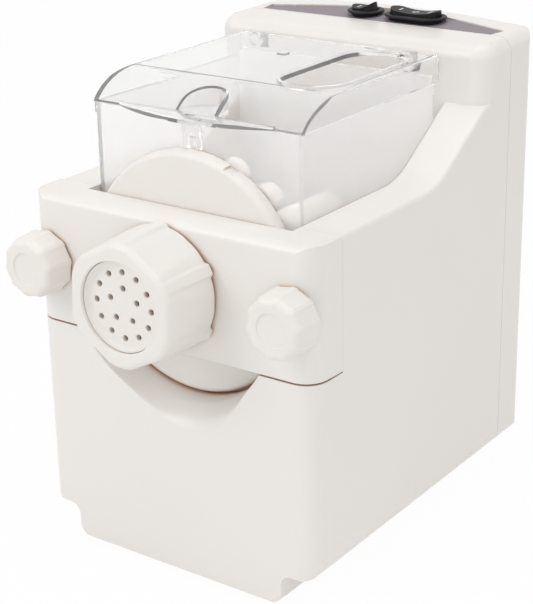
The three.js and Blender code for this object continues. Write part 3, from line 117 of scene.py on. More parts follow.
# %% The wire that carries shader maths
class Wire:
    """One output socket of a node tree, with Python's operators on its value."""

    def __init__(self, tree, socket=None):
        self.tree = tree
        self.socket = socket

    def node(self, kind, settings=None, sockets=None, out=0):
        made = self.tree.nodes.new(kind)
        for name, value in (settings or {}).items():
            setattr(made, name, value)
        for name, value in (sockets or {}).items():
            socket = made.inputs[name]
            if isinstance(value, Wire):
                self.tree.links.new(value.socket, socket)
            else:
                socket.default_value = value
        return Wire(self.tree, made.outputs[out])

    def math(self, operation, first, second):
        return self.node("ShaderNodeMath", {"operation": operation}, {0: first, 1: second})

    def __add__(self, other):
        return self.math("ADD", self, other)

    def __sub__(self, other):
        return self.math("SUBTRACT", self, other)

    def __mul__(self, other):
        return self.math("MULTIPLY", self, other)

    def mix(self, low, high):
        """The colour low where this wire is 0, and high where it is 1."""
        return self.node("ShaderNodeMix", {"data_type": "RGBA", "clamp_factor": True},
                         {0: self, 6: low, 7: high}, out=2)

    def noise(self, scale, detail=2.0, roughness=0.5):
        return self.node("ShaderNodeTexNoise", {}, {
            "Vector": self, "Scale": scale, "Detail": detail, "Roughness": roughness})


def new_finish(name, **constants):
    """A material with one principled shader whose constant sockets are set here."""
    material = bpy.data.materials.new(name)
    material.use_nodes = True
    tree = material.node_tree
    shader = tree.nodes["Principled BSDF"]
    for socket, value in constants.items():
        shader.inputs[socket.replace("_", " ")].default_value = value
    here = Wire(tree).node("ShaderNodeTexCoord", out="Object")
    return material, shader, here


def feed(shader, socket, wire):
    """Links a wire to one socket of the shader."""
    wire.tree.links.new(wire.socket, shader.inputs[socket])


def relief(shader, height, strength, depth):
    """Turns a wire into a fine relief, this many millimetres deep."""
    feed(shader, "Normal", height.node("ShaderNodeBump", {}, {
        "Strength": strength, "Distance": depth * MM, "Height": height}))


def tint(colour, factor):
    """A colour made lighter or darker, with full alpha."""
    return (colour[0] * factor, colour[1] * factor, colour[2] * factor, 1.0)


# %% [markdown]
# ## Moulded plastic
# A moulded shell looks even from afar, but its colour drifts by a percent or two, its
# gloss varies a little where it was handled, and its surface has the fine grain of the
# mould. Three noises at different sizes give those three things. In a narrow crease,
# where light only gets in by way of other white walls, white looks warmer; that warm
# shade is painted into the colour by an occlusion mask, as painted crease shade.

# %% Moulded plastic
# Painted shade: the warm dark colour, the reach and the gain of the shade painted into creases.
PAINTED_CREASE_SHADE = (0.68, 0.4, 0.23, 1.0)
PAINTED_SHADE_REACH = 8.0
PAINTED_SHADE_GAIN = 1.9
DRIFT_SCALE = 9.0
GLOSS_SCALE = 42.0
GLOSS_PLAY = 0.06
GRAIN_STRENGTH = 0.35


def moulded(name, colour, gloss, grain_size, grain_height, drift=0.02, paint_crease_shade=False,
            **constants):
    """Plastic with a drifting colour, a varying gloss, the fine grain of its mould and, if asked,
    painted shade in its creases.
    """
    material, shader, here = new_finish(name, **constants)
    broad = here.noise(DRIFT_SCALE, 1.0)
    plain = broad.mix(tint(colour, 1 - drift), tint(colour, 1 + drift / 2))
    # Painted shade: an occlusion mask paints creases a warm dark tone that stands in for shade and
    # bounced light.
    if paint_crease_shade:
        painted_shade_openness = here.node("ShaderNodeAmbientOcclusion", {"samples": 8}, {
            "Distance": PAINTED_SHADE_REACH * MM}, out="AO")
        plain = (painted_shade_openness * PAINTED_SHADE_GAIN).mix(PAINTED_CREASE_SHADE, plain)
    feed(shader, "Base Color", plain)
    feed(shader, "Roughness", (here.noise(GLOSS_SCALE, 3.0) - 0.5) * GLOSS_PLAY + gloss)
    relief(shader, here.noise(1 / (grain_size * MM)), GRAIN_STRENGTH, grain_height)
    return material


# Both whites get painted shade in their creases.
shell_white = moulded("shell_white", (0.85, 0.822, 0.793), 0.36, 0.9, 0.02, Coat_Weight=0.12,
                      Coat_Roughness=0.25, paint_crease_shade=True)
part_white = moulded("part_white", (0.85, 0.818, 0.783), 0.42, 0.7, 0.02, paint_crease_shade=True)
satin_black = moulded("satin_black", (0.012, 0.011, 0.012), 0.5, 0.6, 0.03, drift=0.15,
                      Specular_IOR_Level=0.25)
panel_taupe = moulded("panel_taupe", (0.292, 0.257, 0.28), 0.6, 0.35, 0.03,
                      Specular_IOR_Level=0.25)
mark_white = moulded("mark_white", (0.8, 0.79, 0.79), 0.6, 0.3, 0.01)
natural_nylon = moulded("natural_nylon", (0.74, 0.72, 0.64), 0.5, 1.4, 0.03, drift=0.05)
print("plastics made:", [m.name for m in bpy.data.materials if "white" in m.name])


# %% [markdown]
# ## Clear plastic
# The bowl and lid are clear moulded plastic about two and a half millimetres thick. They
# are modelled with their real wall, so that light bends at both faces and the edges turn
# grey. A slight waviness of the surface keeps the reflections from being perfect.

# %% Clear plastic
SHADOW_TINT = (0.97, 0.97, 0.97, 1.0)


def clear_plastic(name, colour, clear_share, bending):
    """Clear plastic with a little haze, which lets the lamps' light through."""
    material, shader, here = new_finish(
        name, Transmission_Weight=clear_share, IOR=bending, Base_Color=(*colour, 1.0))
    feed(shader, "Roughness", here.noise(30.0, 2.0) * 0.03 + 0.01)
    relief(shader, here.noise(25.0, 1.0), 0.05, 0.02)
    shadow_ray = here.node("ShaderNodeLightPath", out="Is Shadow Ray")
    open_to_light = here.node("ShaderNodeBsdfTransparent", {}, {"Color": SHADOW_TINT})
    surface = here.node("ShaderNodeMixShader", {}, {
        0: shadow_ray, 1: Wire(here.tree, shader.outputs[0]), 2: open_to_light})
    here.tree.links.new(surface.socket, here.tree.nodes["Material Output"].inputs["Surface"])
    return material


clear_bowl_finish = clear_plastic("clear_bowl_plastic", (1.0, 0.995, 0.99), 0.66, 1.2)
clear_lid_finish = clear_plastic("clear_lid_plastic", (0.975, 0.975, 0.975), 0.93, 1.5)
print("clear plastics:", clear_bowl_finish.name, "and", clear_lid_finish.name)


# %% [markdown]
# ## Metals, rubber, copper and board
# Turned shafts show fine rings round their axis, pressed plates show a brushed grain,
# and rubber is dull with a powdery bloom. Each is one noise stretched the right way.

# %% Metals and the other inner finishes
def brushed(name, colour, roughness, stretch):
    """Metal whose fine lines run along the axis that stretch squeezes least."""
    material, shader, here = new_finish(name, Metallic=1.0)
    squeezed = here.node("ShaderNodeMapping", {}, {"Vector": here, "Scale": stretch})
    lines = squeezed.noise(60.0, 4.0)
    feed(shader, "Base Color", lines.mix(tint(colour, 0.86), tint(colour, 1.06)))
    feed(shader, "Roughness", lines * 0.2 + (roughness - 0.1))
    relief(shader, lines, 0.3, 0.03)
    return material


def dull(name, colour, roughness, grain_size):
    """Rubber, varnish or board: a dull face with a fine speckle."""
    material, shader, here = new_finish(name)
    speck = here.noise(1 / (grain_size * MM), 3.0, 0.6)
    feed(shader, "Base Color", speck.mix(tint(colour, 0.8), tint(colour, 1.15)))
    feed(shader, "Roughness", speck * 0.15 + (roughness - 0.08))
    relief(shader, speck, 0.4, 0.05)
    return material


turned_steel = brushed("turned_steel", (0.62, 0.63, 0.64), 0.3, (1.0, 14.0, 1.0))
plate_steel = brushed("plate_steel", (0.58, 0.59, 0.6), 0.38, (12.0, 1.0, 1.0))
turned_brass = brushed("turned_brass", (0.68, 0.48, 0.2), 0.32, (1.0, 12.0, 1.0))
black_rubber = dull("black_rubber", (0.03, 0.03, 0.032), 0.85, 0.8)
pale_silicone = dull("pale_silicone", (0.7, 0.67, 0.63), 0.6, 1.2)
copper_winding = dull("copper_winding", (0.42, 0.17, 0.07), 0.45, 0.5)
board_green = dull("board_green", (0.03, 0.14, 0.06), 0.5, 1.0)
print("finishes in all:", len(bpy.data.materials))


# %% [markdown]
# ## Drawing with operators
# Every new piece starts from a primitive. `wire` squeezes a small plane to one point and
# extrudes that point along an outline; `prism` pulls a filled outline to its depth,
# `turned` and `upright` spin a profile round a line, and `loft` bridges several
# outlines. Whole meshes are moved and turned in edit mode, so objects stay put.

# %% Picking, drawing and closing a mesh
START_SIZE = 0.001
WELD = 2e-6
AXIS_HEIGHT = 180.0


def pick(piece=None):
    """Leaves edit mode, deselects everything and makes one piece active."""
    if bpy.context.mode != "OBJECT":
        bpy.ops.object.mode_set(mode="OBJECT")
    bpy.ops.object.select_all(action="DESELECT")
    if piece is not None:
        piece.select_set(True)
        bpy.context.view_layer.objects.active = piece


def edit(piece, mode="VERT"):
    """Opens one piece in edit mode with a chosen select mode."""
    pick(piece)
    bpy.ops.object.mode_set(mode="EDIT")
    bpy.ops.mesh.select_mode(type=mode)


def reworked(piece, operator, **how):
    """Runs one transform operator on the whole mesh of a piece."""
    edit(piece)
    bpy.ops.mesh.select_all(action="SELECT")
    operator(**how)
    bpy.ops.object.mode_set(mode="OBJECT")
    return piece


def shifted(piece, way):
    return reworked(piece, bpy.ops.transform.translate, value=way)


def tipped(piece, angle, x, y, z):
    """Turns a mesh by degrees about a line along the depth."""
    return reworked(piece, bpy.ops.transform.rotate, value=radians(angle), orient_axis="Y",
                    orient_type="GLOBAL", center_override=spot(x, y, z))


def wire(points, closed=True):
    """Draws an outline by extruding one point; it is left selected."""
    bpy.context.scene.tool_settings.mesh_select_mode = (True, False, False)
    bpy.ops.mesh.primitive_plane_add(size=START_SIZE, location=points[0])
    if bpy.context.mode == "OBJECT":
        bpy.ops.object.mode_set(mode="EDIT")
        bpy.ops.mesh.select_all(action="SELECT")
    bpy.ops.mesh.merge(type="CENTER")
    path = list(points) + ([points[0]] if closed else [])
    for here, there in zip(path, path[1:]):
        bpy.ops.mesh.extrude_region_move(TRANSFORM_OT_translate={"value": there - here})
    bpy.ops.mesh.select_linked()
    bpy.ops.mesh.remove_doubles(threshold=WELD)


def close_up(name):
    """Turns all faces outwards and leaves edit mode; returns the piece."""
    bpy.ops.mesh.select_all(action="SELECT")
    bpy.ops.mesh.remove_doubles(threshold=WELD)
    bpy.ops.mesh.normals_make_consistent(inside=False)
    bpy.ops.object.mode_set(mode="OBJECT")
    piece = bpy.context.object
    piece.name = name
    bpy.ops.object.transform_apply(location=True, rotation=True, scale=True)
    return piece


def cap_ends(name):
    """Fills every open end of the mesh in edit mode, then closes it up."""
    bpy.ops.mesh.select_all(action="DESELECT")
    bpy.ops.mesh.select_mode(type="EDGE")
    bpy.ops.mesh.select_non_manifold(extend=False)
    bpy.ops.mesh.fill_holes(sides=0)
    return close_up(name)


PLANES = {
    "x": lambda depth, u, v: spot(depth, u, v),
    "y": lambda depth, u, v: spot(u, depth, v),
    "z": lambda depth, u, v: spot(u, v, depth),
}


def prism(name, axis, outline, start, end):
    """An outline in the plane across an axis, pulled from start to end along it."""
    pick()
    place = PLANES[axis]
    wire([place(start, u, v) for u, v in outline])
    bpy.ops.mesh.edge_face_add()
    pull = place(end, 0, 0) - place(start, 0, 0)
    bpy.ops.mesh.extrude_region_move(TRANSFORM_OT_translate={"value": pull})
    return close_up(name)


def block(name, x0, x1, y0, y1, z0, z1):
    """A plain cutting block between two corners."""
    return prism(name, "z", [(x0, y0), (x1, y0), (x1, y1), (x0, y1)], z0, z1)


def spun(name, points, centre, axis, steps):
    """Points spun once round a line; they form a ring where the last is the first."""
    pick()
    ring = points[0] == points[-1]
    wire(points[:-1] if ring else points, closed=ring)
    bpy.ops.mesh.spin(steps=steps, angle=2 * pi, center=centre, axis=axis)
    return close_up(name)


def turned(name, profile, x=0.0, z=AXIS_HEIGHT, steps=96):
    """A profile of (radius, depth) points spun round a line along the depth."""
    points = [spot(x + radius, y, z) for radius, y in profile]
    return spun(name, points, spot(x, 0, z), (0, 1, 0), steps)


def upright(name, profile, x, y, steps=48):
    """A profile of (radius, height) points spun round an upright line."""
    points = [spot(x + radius, y, height) for radius, height in profile]
    return spun(name, points, spot(x, y, 0), (0, 0, 1), steps)


def loft(name, axis, rings):
    """Outlines of equal count at several depths, bridged into one closed form."""
    pick()
    place = PLANES[axis]
    for depth, outline in rings:
        wire([place(depth, u, v) for u, v in outline])
    bpy.ops.mesh.select_all(action="SELECT")
    bpy.ops.mesh.bridge_edge_loops()
    return cap_ends(name)


# %% [markdown]
# Outlines are lists of points. A corner can carry a radius, and then becomes a true
# arc; a curve with one lead point does for everything that isn't round.

# %% Outlines
ARC_STEP = radians(7.5)


def rounded(corners, step=ARC_STEP):
    """Outline points of corners (u, v) or (u, v, radius), with true arcs."""
    points = []
    count = len(corners)
    for index, corner in enumerate(corners):
        here = Vector(corner[:2])
        radius = corner[2] if len(corner) > 2 else 0
        if not radius:
            points.append((here.x, here.y))
            continue
        behind = (Vector(corners[index - 1][:2]) - here).normalized()
        ahead = (Vector(corners[(index + 1) % count][:2]) - here).normalized()
        half = behind.angle(ahead) / 2
        centre = here + (behind + ahead).normalized() * (radius / sin(half))
        start = here + behind * (radius / tan(half)) - centre
        sweep = pi - 2 * half
        if behind.cross(ahead) > 0:
            sweep = -sweep
        parts = max(2, round(abs(sweep) / step))
        first = atan2(start.y, start.x)
        for part in range(parts + 1):
            angle = first + sweep * part / parts
            points.append((centre.x + radius * cos(angle), centre.y + radius * sin(angle)))
    return points


def arc(u, v, radius, start, end, step=radians(5)):
    """Points along an arc in degrees, both ends included."""
    parts = max(2, round(abs(radians(end - start)) / step))
    angles = [radians(start + (end - start) * part / parts) for part in range(parts + 1)]
    return [(u + radius * cos(a), v + radius * sin(a)) for a in angles]


def bezier(start, lead, end, parts=10):
    """Points along a curve with one lead point, both ends included."""
    points = []
    for part in range(parts + 1):
        t = part / parts
        points.append(tuple((1 - t) ** 2 * a + 2 * t * (1 - t) * b + t * t * c
                            for a, b, c in zip(start, lead, end)))
    return points


# %% [markdown]
# Forms are joined and cut with booleans, cleaned, and then get the small roundings that
# every moulding has, which is where the light catches.

# %% Joining, cutting and finishing
STRAY = 0.00002
FLAT = radians(0.4)


def combine(piece, operation, *tools):
    """Applies one boolean for each tool and removes the tools."""
    for tool in tools:
        pick(piece)
        bpy.ops.object.modifier_add(type="BOOLEAN")
        boolean = piece.modifiers[-1]
        boolean.operation = operation
        boolean.solver = "EXACT"
        boolean.object = tool
        bpy.ops.object.modifier_apply(modifier=boolean.name)
        bpy.data.objects.remove(tool)
    return piece


def cut(piece, *tools):
    return combine(piece, "DIFFERENCE", *tools)


def join(piece, *tools):
    return combine(piece, "UNION", *tools)


def common(piece, *tools):
    return combine(piece, "INTERSECT", *tools)


def tidy_faces(piece):
    """Welds stray points and takes out edges that lie in a flat face."""
    edit(piece)
    bpy.ops.mesh.select_all(action="SELECT")
    bpy.ops.mesh.remove_doubles(threshold=STRAY)
    bpy.ops.mesh.dissolve_degenerate(threshold=STRAY)
    bpy.ops.mesh.dissolve_limited(angle_limit=FLAT)
    bpy.ops.object.mode_set(mode="OBJECT")
    return piece


def sharpness(mesh):
    """The angle in degrees between the two faces at each edge, by the edge's key."""
    normals = {}
    for face in mesh.polygons:
        for key in face.edge_keys:
            normals.setdefault(key, []).append(face.normal.copy())
    return {key: degrees(pair[0].angle(pair[1], 0))
            for key, pair in normals.items() if len(pair) == 2}


def round_edges(piece, radius, chosen, segments=5, sharp=0):
    """Bevels the edges for which chosen(middle, direction) holds, in machine millimetres."""
    pick(piece)
    mesh = piece.data
    angles = sharpness(mesh)
    for group in (mesh.vertices, mesh.edges, mesh.polygons):
        group.foreach_set("select", [False] * len(group))
    found = 0
    corner = Vector((0, FRONT_DEPTH, -FOOT_HEIGHT))
    for edge in mesh.edges:
        a, b = (mesh.vertices[i].co / MM + corner for i in edge.vertices)
        if angles.get(edge.key, 0) >= sharp and chosen((a + b) / 2, (b - a).normalized()):
            edge.select = True
            found += 1
    bpy.context.scene.tool_settings.mesh_select_mode = (False, True, False)
    bpy.ops.object.mode_set(mode="EDIT")
    bpy.ops.mesh.bevel(offset=radius * MM, segments=segments, profile=0.5, affect="EDGES",
                       clamp_overlap=True)
    bpy.ops.object.mode_set(mode="OBJECT")
    print(piece.name, "rounded", found, "edges by", radius, "mm")
    return piece


def soften(piece, radius, segments=3, sharp=32):
    """Rounds every edge that is sharper than an angle, as a mould does."""
    pick(piece)
    bpy.ops.object.modifier_add(type="BEVEL")
    bevel = piece.modifiers[-1]
    bevel.width = radius * MM
    bevel.segments = segments
    bevel.limit_method = "ANGLE"
    bevel.angle_limit = radians(sharp)
    bevel.miter_outer = "MITER_ARC"
    bpy.ops.object.modifier_apply(modifier=bevel.name)
    return piece


def finish(piece, material, body, slot, *nodes, smooth=35):
    """Gives a piece its finish, its shading, its body and the nodes it stands for. The slot
    argument is not used.
    """
    pick(piece)
    bpy.ops.object.shade_smooth_by_angle(angle=radians(smooth))
    bpy.ops.object.modifier_add(type="WEIGHTED_NORMAL")
    piece.modifiers[-1].keep_sharp = True
    bpy.ops.object.modifier_apply(modifier=piece.modifiers[-1].name)
    piece.data.materials.clear()
    piece.data.materials.append(material)
    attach(piece, body)
    if nodes:
        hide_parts(*nodes)
    print(piece.name, "has", len(piece.data.polygons), "faces and rides on", body)
    return piece


# %% [markdown]
# ## The shape of the body
# Three outlines drawn from the front, the side and above share one body: the form is
# what lies inside all three when they are pulled through each other. Drawing them again
# three millimetres further in gives the hollow of the moulded wall.

# %% Body outlines
HALF_WIDTH = 100.0
BODY_DEPTH = 250.0
TOP_HEIGHT = 291.5
WALL = 3.0
PARTING = 216.0
RIM_HEIGHT = 219.5
TOWER_FRONT = 185.0
OVERRUN = 5.0
GAP = 0.3
FAR = 120.0
HIGH = 320.0
TOWER_EDGE = 9.0
TOWER_FOOT = 255.0
CREST_DROP = 1.5
CURVE_DEPTHS = (115, 128, 141)
CURVE_LIFT = 8.1
PLINTH_HALF = 76.0
PLINTH_HEIGHT = 20.0
PLINTH_ROUND = 7.0
LEDGE_ROUND = 10.0
TOP_ROUND = 9.0
FRONT_ROUND = 14.0
REAR_ROUND = 13.0
BAY_HALF = 72.6


def side_outline(inset, front, rear, bottom):
    """Seen from the side: low rims, the curve up and the tower, in (depth, height)."""
    step = RIM_HEIGHT - inset
    face = TOWER_FRONT + inset
    start, lead, end = CURVE_DEPTHS
    curve = bezier((start, step), (lead, step), (end, step + CURVE_LIFT), 12)
    return rounded([
        (front, bottom), (rear, bottom), (rear, TOP_HEIGHT - inset),
        (PARTING, TOP_HEIGHT - inset), (face, TOP_HEIGHT - CREST_DROP - inset, TOWER_EDGE),
        (face, TOWER_FOOT - inset), *reversed(curve), (front, step),
    ])


def front_corners(inset, bottom):
    """Seen from the front: the body on its narrower plinth, in (across, height)."""
    half = HALF_WIDTH - inset
    plinth = PLINTH_HALF - inset
    ledge = PLINTH_HEIGHT + inset
    right_side = [
        (plinth, bottom, 0 if inset else PLINTH_ROUND), (plinth, ledge, PLINTH_ROUND),
        (half, ledge, LEDGE_ROUND - inset), (half, TOP_HEIGHT - inset, TOP_ROUND - inset),
    ]
    left_side = [(-x, z, radius) for x, z, radius in reversed(right_side)]
    return right_side + left_side


def plan_outline(inset):
    """Seen from above: the rounded rectangle, in (across, depth)."""
    half = HALF_WIDTH - inset
    rear = BODY_DEPTH - inset
    return rounded([
        (-half, inset, FRONT_ROUND - inset), (half, inset, FRONT_ROUND - inset),
        (half, rear, REAR_ROUND - inset), (-half, rear, REAR_ROUND - inset),
    ])


def body_form(name, inset, bottom):
    """The body's whole form, drawn in by an inset."""
    far = BODY_DEPTH + OVERRUN
    wide = HALF_WIDTH + OVERRUN
    form = prism(name, "x", side_outline(inset, inset, far, bottom), -wide, wide)
    return common(
        form,
        prism("cutter", "y", rounded(front_corners(inset, bottom)), -OVERRUN, far + OVERRUN),
        prism("cutter", "z", plan_outline(inset), bottom - OVERRUN, TOP_HEIGHT + OVERRUN),
    )


def u_outline(half, top, step=radians(4)):
    """The bowl's section: straight sides over a half circle round the drive axis."""
    return [(half, top), (-half, top)] + arc(0, AXIS_HEIGHT, half, 180, 360, step)


print("the body is", 2 * HALF_WIDTH, "by", BODY_DEPTH, "by", TOP_HEIGHT, "mm")


# %% [markdown]
# ## Main housing
# The housing is one moulded shell with a U-shaped bay for the bowl, a round pocket for
# the end plate and a finger scoop under it. Cutting these from the body form, and the
# hollow from behind them, leaves the wall that the real moulding has.

# %% Main housing
POCKET_RADIUS = 73.4
FLARE_DEPTH = 14.0
FLARE_WIDTH = 1.6
SCOOP_WIDTH = 15.0
SCOOP_ANGLE = radians(-78)
SCOOP_HALF_ANGLE = radians(39)
POCKET_STEPS = 180
FLARE_PARTS = 12


def flare_width(angle):
    """How far the pocket's edge is drawn out at an angle: widest in the finger scoop."""
    off = abs((angle - SCOOP_ANGLE + pi) % (2 * pi) - pi) / SCOOP_HALF_ANGLE
    return FLARE_WIDTH + (SCOOP_WIDTH * cos(pi / 2 * off) ** 2 if off < 1 else 0)


def pocket_form(name, extra, rear):
    """The plate's pocket: a round well whose mouth opens out in one smooth curve."""
    angles = [2 * pi * index / POCKET_STEPS for index in range(POCKET_STEPS)]
    stations = [(rear, 0.0), (FLARE_DEPTH + 4 + extra, 0.0)]
    for part in range(FLARE_PARTS + 1):
        share = part / FLARE_PARTS
        stations.append((FLARE_DEPTH * (1 - share) ** 2 + extra * (1 - share), share))
    stations.append((-OVERRUN, 1.0))
    rings = []
    for depth, share in stations:
        reaches = [POCKET_RADIUS + extra + flare_width(a) * share for a in angles]
        rings.append((depth, [(reach * cos(a), AXIS_HEIGHT + reach * sin(a))
                              for reach, a in zip(reaches, angles)]))
    return loft(name, "y", rings)


def rod(name, radius, start, end, x=0.0, z=AXIS_HEIGHT, steps=48):
    """A plain round cutter or core along the depth."""
    return turned(name, [(0, start), (radius, start), (radius, end), (0, end)], x, z, steps)


BAR_DEPTH = 28.7
BAR_BOTTOM = 141.0
NUT_SPREAD = 87.0
NUT_HEIGHT = 179.3
TAB_PLACES = (-61.3, 49.5)
BELOW = -20.0
CORNER_KEPT = (180, 198, 245, 300)

housing = body_form("housing_shell", 0, 0)
common(housing, block("cutter", -FAR, FAR, BELOW, PARTING - GAP, BELOW, HIGH))
kept = prism("kept", "y", u_outline(BAY_HALF + WALL, HIGH), 0, TOWER_FRONT + WALL)
join(
    kept,
    pocket_form("kept_ring", 3.5, BAR_DEPTH + WALL),
    block("kept_front", -100, 100, 0, BAR_DEPTH + WALL, BAR_BOTTOM - WALL, RIM_HEIGHT),
    block("kept_left", -102, -89, *CORNER_KEPT),
    block("kept_right", 89, 102, *CORNER_KEPT),
)
hollow = cut(body_form("hollow", WALL, -OVERRUN), kept)
pocket = pocket_form("pocket", 0, BAR_DEPTH + GAP)
bay = prism("bay", "y", u_outline(BAY_HALF, HIGH), BAR_DEPTH - OVERRUN, TOWER_FRONT)
bar_space = block("bar_space", -FAR, FAR, BELOW, BAR_DEPTH, BAR_BOTTOM - 0.2, HIGH)
slots = [block("slot", x - 3.3, x + 3.3, 180, 193, 271.6, 283) for x in TAB_PLACES]
studs = [rod("stud_hole", 5.2, 0, 40, x, NUT_HEIGHT) for x in (-NUT_SPREAD, NUT_SPREAD)]
shaft_hole = rod("shaft_hole", 9, 180, 193)
TOWER_CORNER = 14.3
TOWER_CREST = 290.75
CORNER_PARTS = 12
CORNER_PLAY = 0.2


def tower_corner(side):
    """What a ball-like corner takes off one side of the tower, above the low sides."""
    stations = [(TOWER_FOOT - OVERRUN, 0.0)]
    for part in range(CORNER_PARTS + 1):
        angle = pi / 2 * part / CORNER_PARTS
        stations.append((TOWER_CREST - TOWER_EDGE * (1 - sin(angle)),
                         TOWER_EDGE * (1 - cos(angle))))
    stations.append((HIGH + 10, TOWER_EDGE))
    rings = []
    for height, draw in stations:
        face = TOWER_FRONT - CORNER_PLAY + draw
        flank = side * (HALF_WIDTH + CORNER_PLAY - draw)
        rings.append((height, rounded([
            (0, face), (flank, face, TOWER_CORNER - draw), (flank, 260), (0, 260)])))
    tower = loft("tower", "z", rings)
    inner, outer = sorted((side * 84, side * 106))
    around = block("corner", inner, outer, TOWER_FRONT - OVERRUN, TOWER_FRONT + 14.2,
                   TOWER_FOOT, HIGH)
    return cut(around, tower)


corner_cuts = [tower_corner(side) for side in (-1, 1)]
cut(housing, *corner_cuts, hollow, bar_space, bay, pocket, *slots, *studs, shaft_hole)
tidy_faces(housing)
round_edges(housing, 2.4, lambda m, d: abs(m.x) > 99.5 and m.z > 219 and 29 < m.y < 185.5, 4, 30)
round_edges(housing, 1.2, lambda m, d: abs(m.x) > 84 and m.z > 277 and m.y < 200, 3, 12)
soften(housing, 0.5)
finish(housing, shell_white, "housing", "white_shell", "main_housing")


# %% [markdown]
# ## Rear cover
# The cover closes the tower from behind and meets the housing in one straight parting
# line. Its top swells into a crown toward the rear, so its form is a loft between two
# outlines. The top is sunk for the control panel, and the back has slots for the
# motor's air and a hole for the cord's gland.

# %% Rear cover
PANEL_FRONT = 217.5
PANEL_REAR = 243.0
PANEL_HALF = 87.0
TIP_SHARE = 0.5
STRAIGHT_SHARE = 0.97
SWITCH_DEPTH = 230.2
ROUND_SWITCH = (-12.6, 0.0)
LONG_SWITCH = (24.6, 9.25)
SWITCH_RADIUS = 11.9


def panel_outline(inset):
    """The panel seen from above: straight in front, one flat arc behind."""
    half = PANEL_HALF - inset
    rear = PANEL_REAR - inset
    front = PANEL_FRONT + inset
    tip = PANEL_FRONT + (PANEL_REAR - PANEL_FRONT) * TIP_SHARE - inset
    right_arc = bezier((half, tip), (half / 2, rear), (0, rear), 14)
    left_arc = bezier((0, rear), (-half / 2, rear), (-half, tip), 14)
    straight = [(-half * STRAIGHT_SHARE, front), (half * STRAIGHT_SHARE, front)]
    return straight + right_arc + left_arc[1:]


def switch_outline(switch, inset, step=radians(9)):
    """A round or a long switch seen from above, drawn in by an inset."""
    centre, straight = switch
    radius = SWITCH_RADIUS - inset
    right_end = arc(centre + straight, SWITCH_DEPTH, radius, -90, 90, step)
    left_end = arc(centre - straight, SWITCH_DEPTH, radius, 90, 270, step)
    return right_end + (left_end if straight else left_end[1:-1])


WINDOW_INSET = 3.0
WINDOW_START = 278.3
SEAT_START = 280.0
VENT_PITCH = 8.0
VENT_HALF = 1.5
VENT_LOW = 150.0
VENT_TOP = 196.0
BACK_WALL = (240, 256)
GLAND_SPOT = (-58.0, 48.0)

CROWN_RISE = 4.2
CROWN_HALF = 91.0


def crest(x, rise):
    """How high the crowned top stands at a place across."""
    return TOP_HEIGHT + rise * (1 - (x / CROWN_HALF) ** 2)


def crown_rise(depth):
    """The crown grows from nothing at the parting line to its full rise at the back."""
    return CROWN_RISE * (depth - PARTING) / (BODY_DEPTH - PARTING)


def crown_slab(name, low, high):
    """What lies between two copies of the crowned top, shifted to low and high."""
    rings = []
    for depth in (PARTING - 10, BODY_DEPTH + 10):
        places = [95 * (part / 20 - 1) for part in range(41)]
        line = [(x, crest(x, crown_rise(depth))) for x in places]
        under = [(x, z + low) for x, z in line]
        over = [(x, z + high) for x, z in reversed(line)]
        rings.append((depth, under + over))
    return loft(name, "y", rings)


def cover_form(name, inset, bottom):
    """The cover's whole form, with its crowned top, drawn in by an inset."""
    rings = []
    for depth in (PARTING - 10, BODY_DEPTH + 10):
        sides = front_corners(inset, bottom)
        half = len(sides) // 2
        top = [(x, crest(x, crown_rise(depth)) - inset) for x in range(80, -81, -8)]
        rings.append((depth, rounded(sides[:half] + top + sides[half:])))
    return common(loft(name, "y", rings),
                  prism("cutter", "z", plan_outline(inset), bottom - OVERRUN, HIGH))


rear = cover_form("rear_shell", 0, 0)
cut(rear, cover_form("hollow", WALL, -OVERRUN))
seat_block = prism("seat_block", "z", panel_outline(-WALL), SEAT_START, HIGH)
common(seat_block, crown_slab("cutter", -6, -0.7))
join(rear, seat_block)
windows = [prism("window", "z", switch_outline(switch, WINDOW_INSET - 1.2), WINDOW_START, HIGH)
           for switch in (ROUND_SWITCH, LONG_SWITCH)]
vents = []
for index in range(-4, 5):
    left, right = index * VENT_PITCH - VENT_HALF, index * VENT_PITCH + VENT_HALF
    vents.append(prism("vent", "y", rounded([
        (left, VENT_LOW, VENT_HALF), (right, VENT_LOW, VENT_HALF),
        (right, VENT_TOP, VENT_HALF), (left, VENT_TOP, VENT_HALF),
    ], radians(20)), *BACK_WALL))
cord_hole = rod("cord_hole", 7.8, *BACK_WALL, *GLAND_SPOT)
seat = prism("seat", "z", panel_outline(-GAP), SEAT_START, HIGH)
common(seat, crown_slab("cutter", -2.6, 30))
cut(rear, seat, *windows, *vents, cord_hole,
    block("front", -FAR, FAR, 100, PARTING, BELOW, HIGH))
tidy_faces(rear)
round_edges(rear, 2.5, lambda m, d: m.y > 237 and m.z > 281 and (m.y > 249 or abs(m.x) > 87), 4, 25)
soften(rear, 0.4)
finish(rear, shell_white, "housing", "white_shell", "rear_cover")


# %% [markdown]
# ## Front bar
# The bar crosses the bowl's end plate and is what the thumb nuts press. It is a hollow
# moulding with a ring round the outlet tube. Its top front edge is rounded much more
# than the others, so that rounding is drawn in the side outline before it is cut.

# %% Front bar
BAR_FRONT_ROUND = 5.5
TUBE_CLEARANCE = 30.8
BAR_REAR = BAR_DEPTH - 0.12
BAR_LOW = BAR_BOTTOM + 0.6

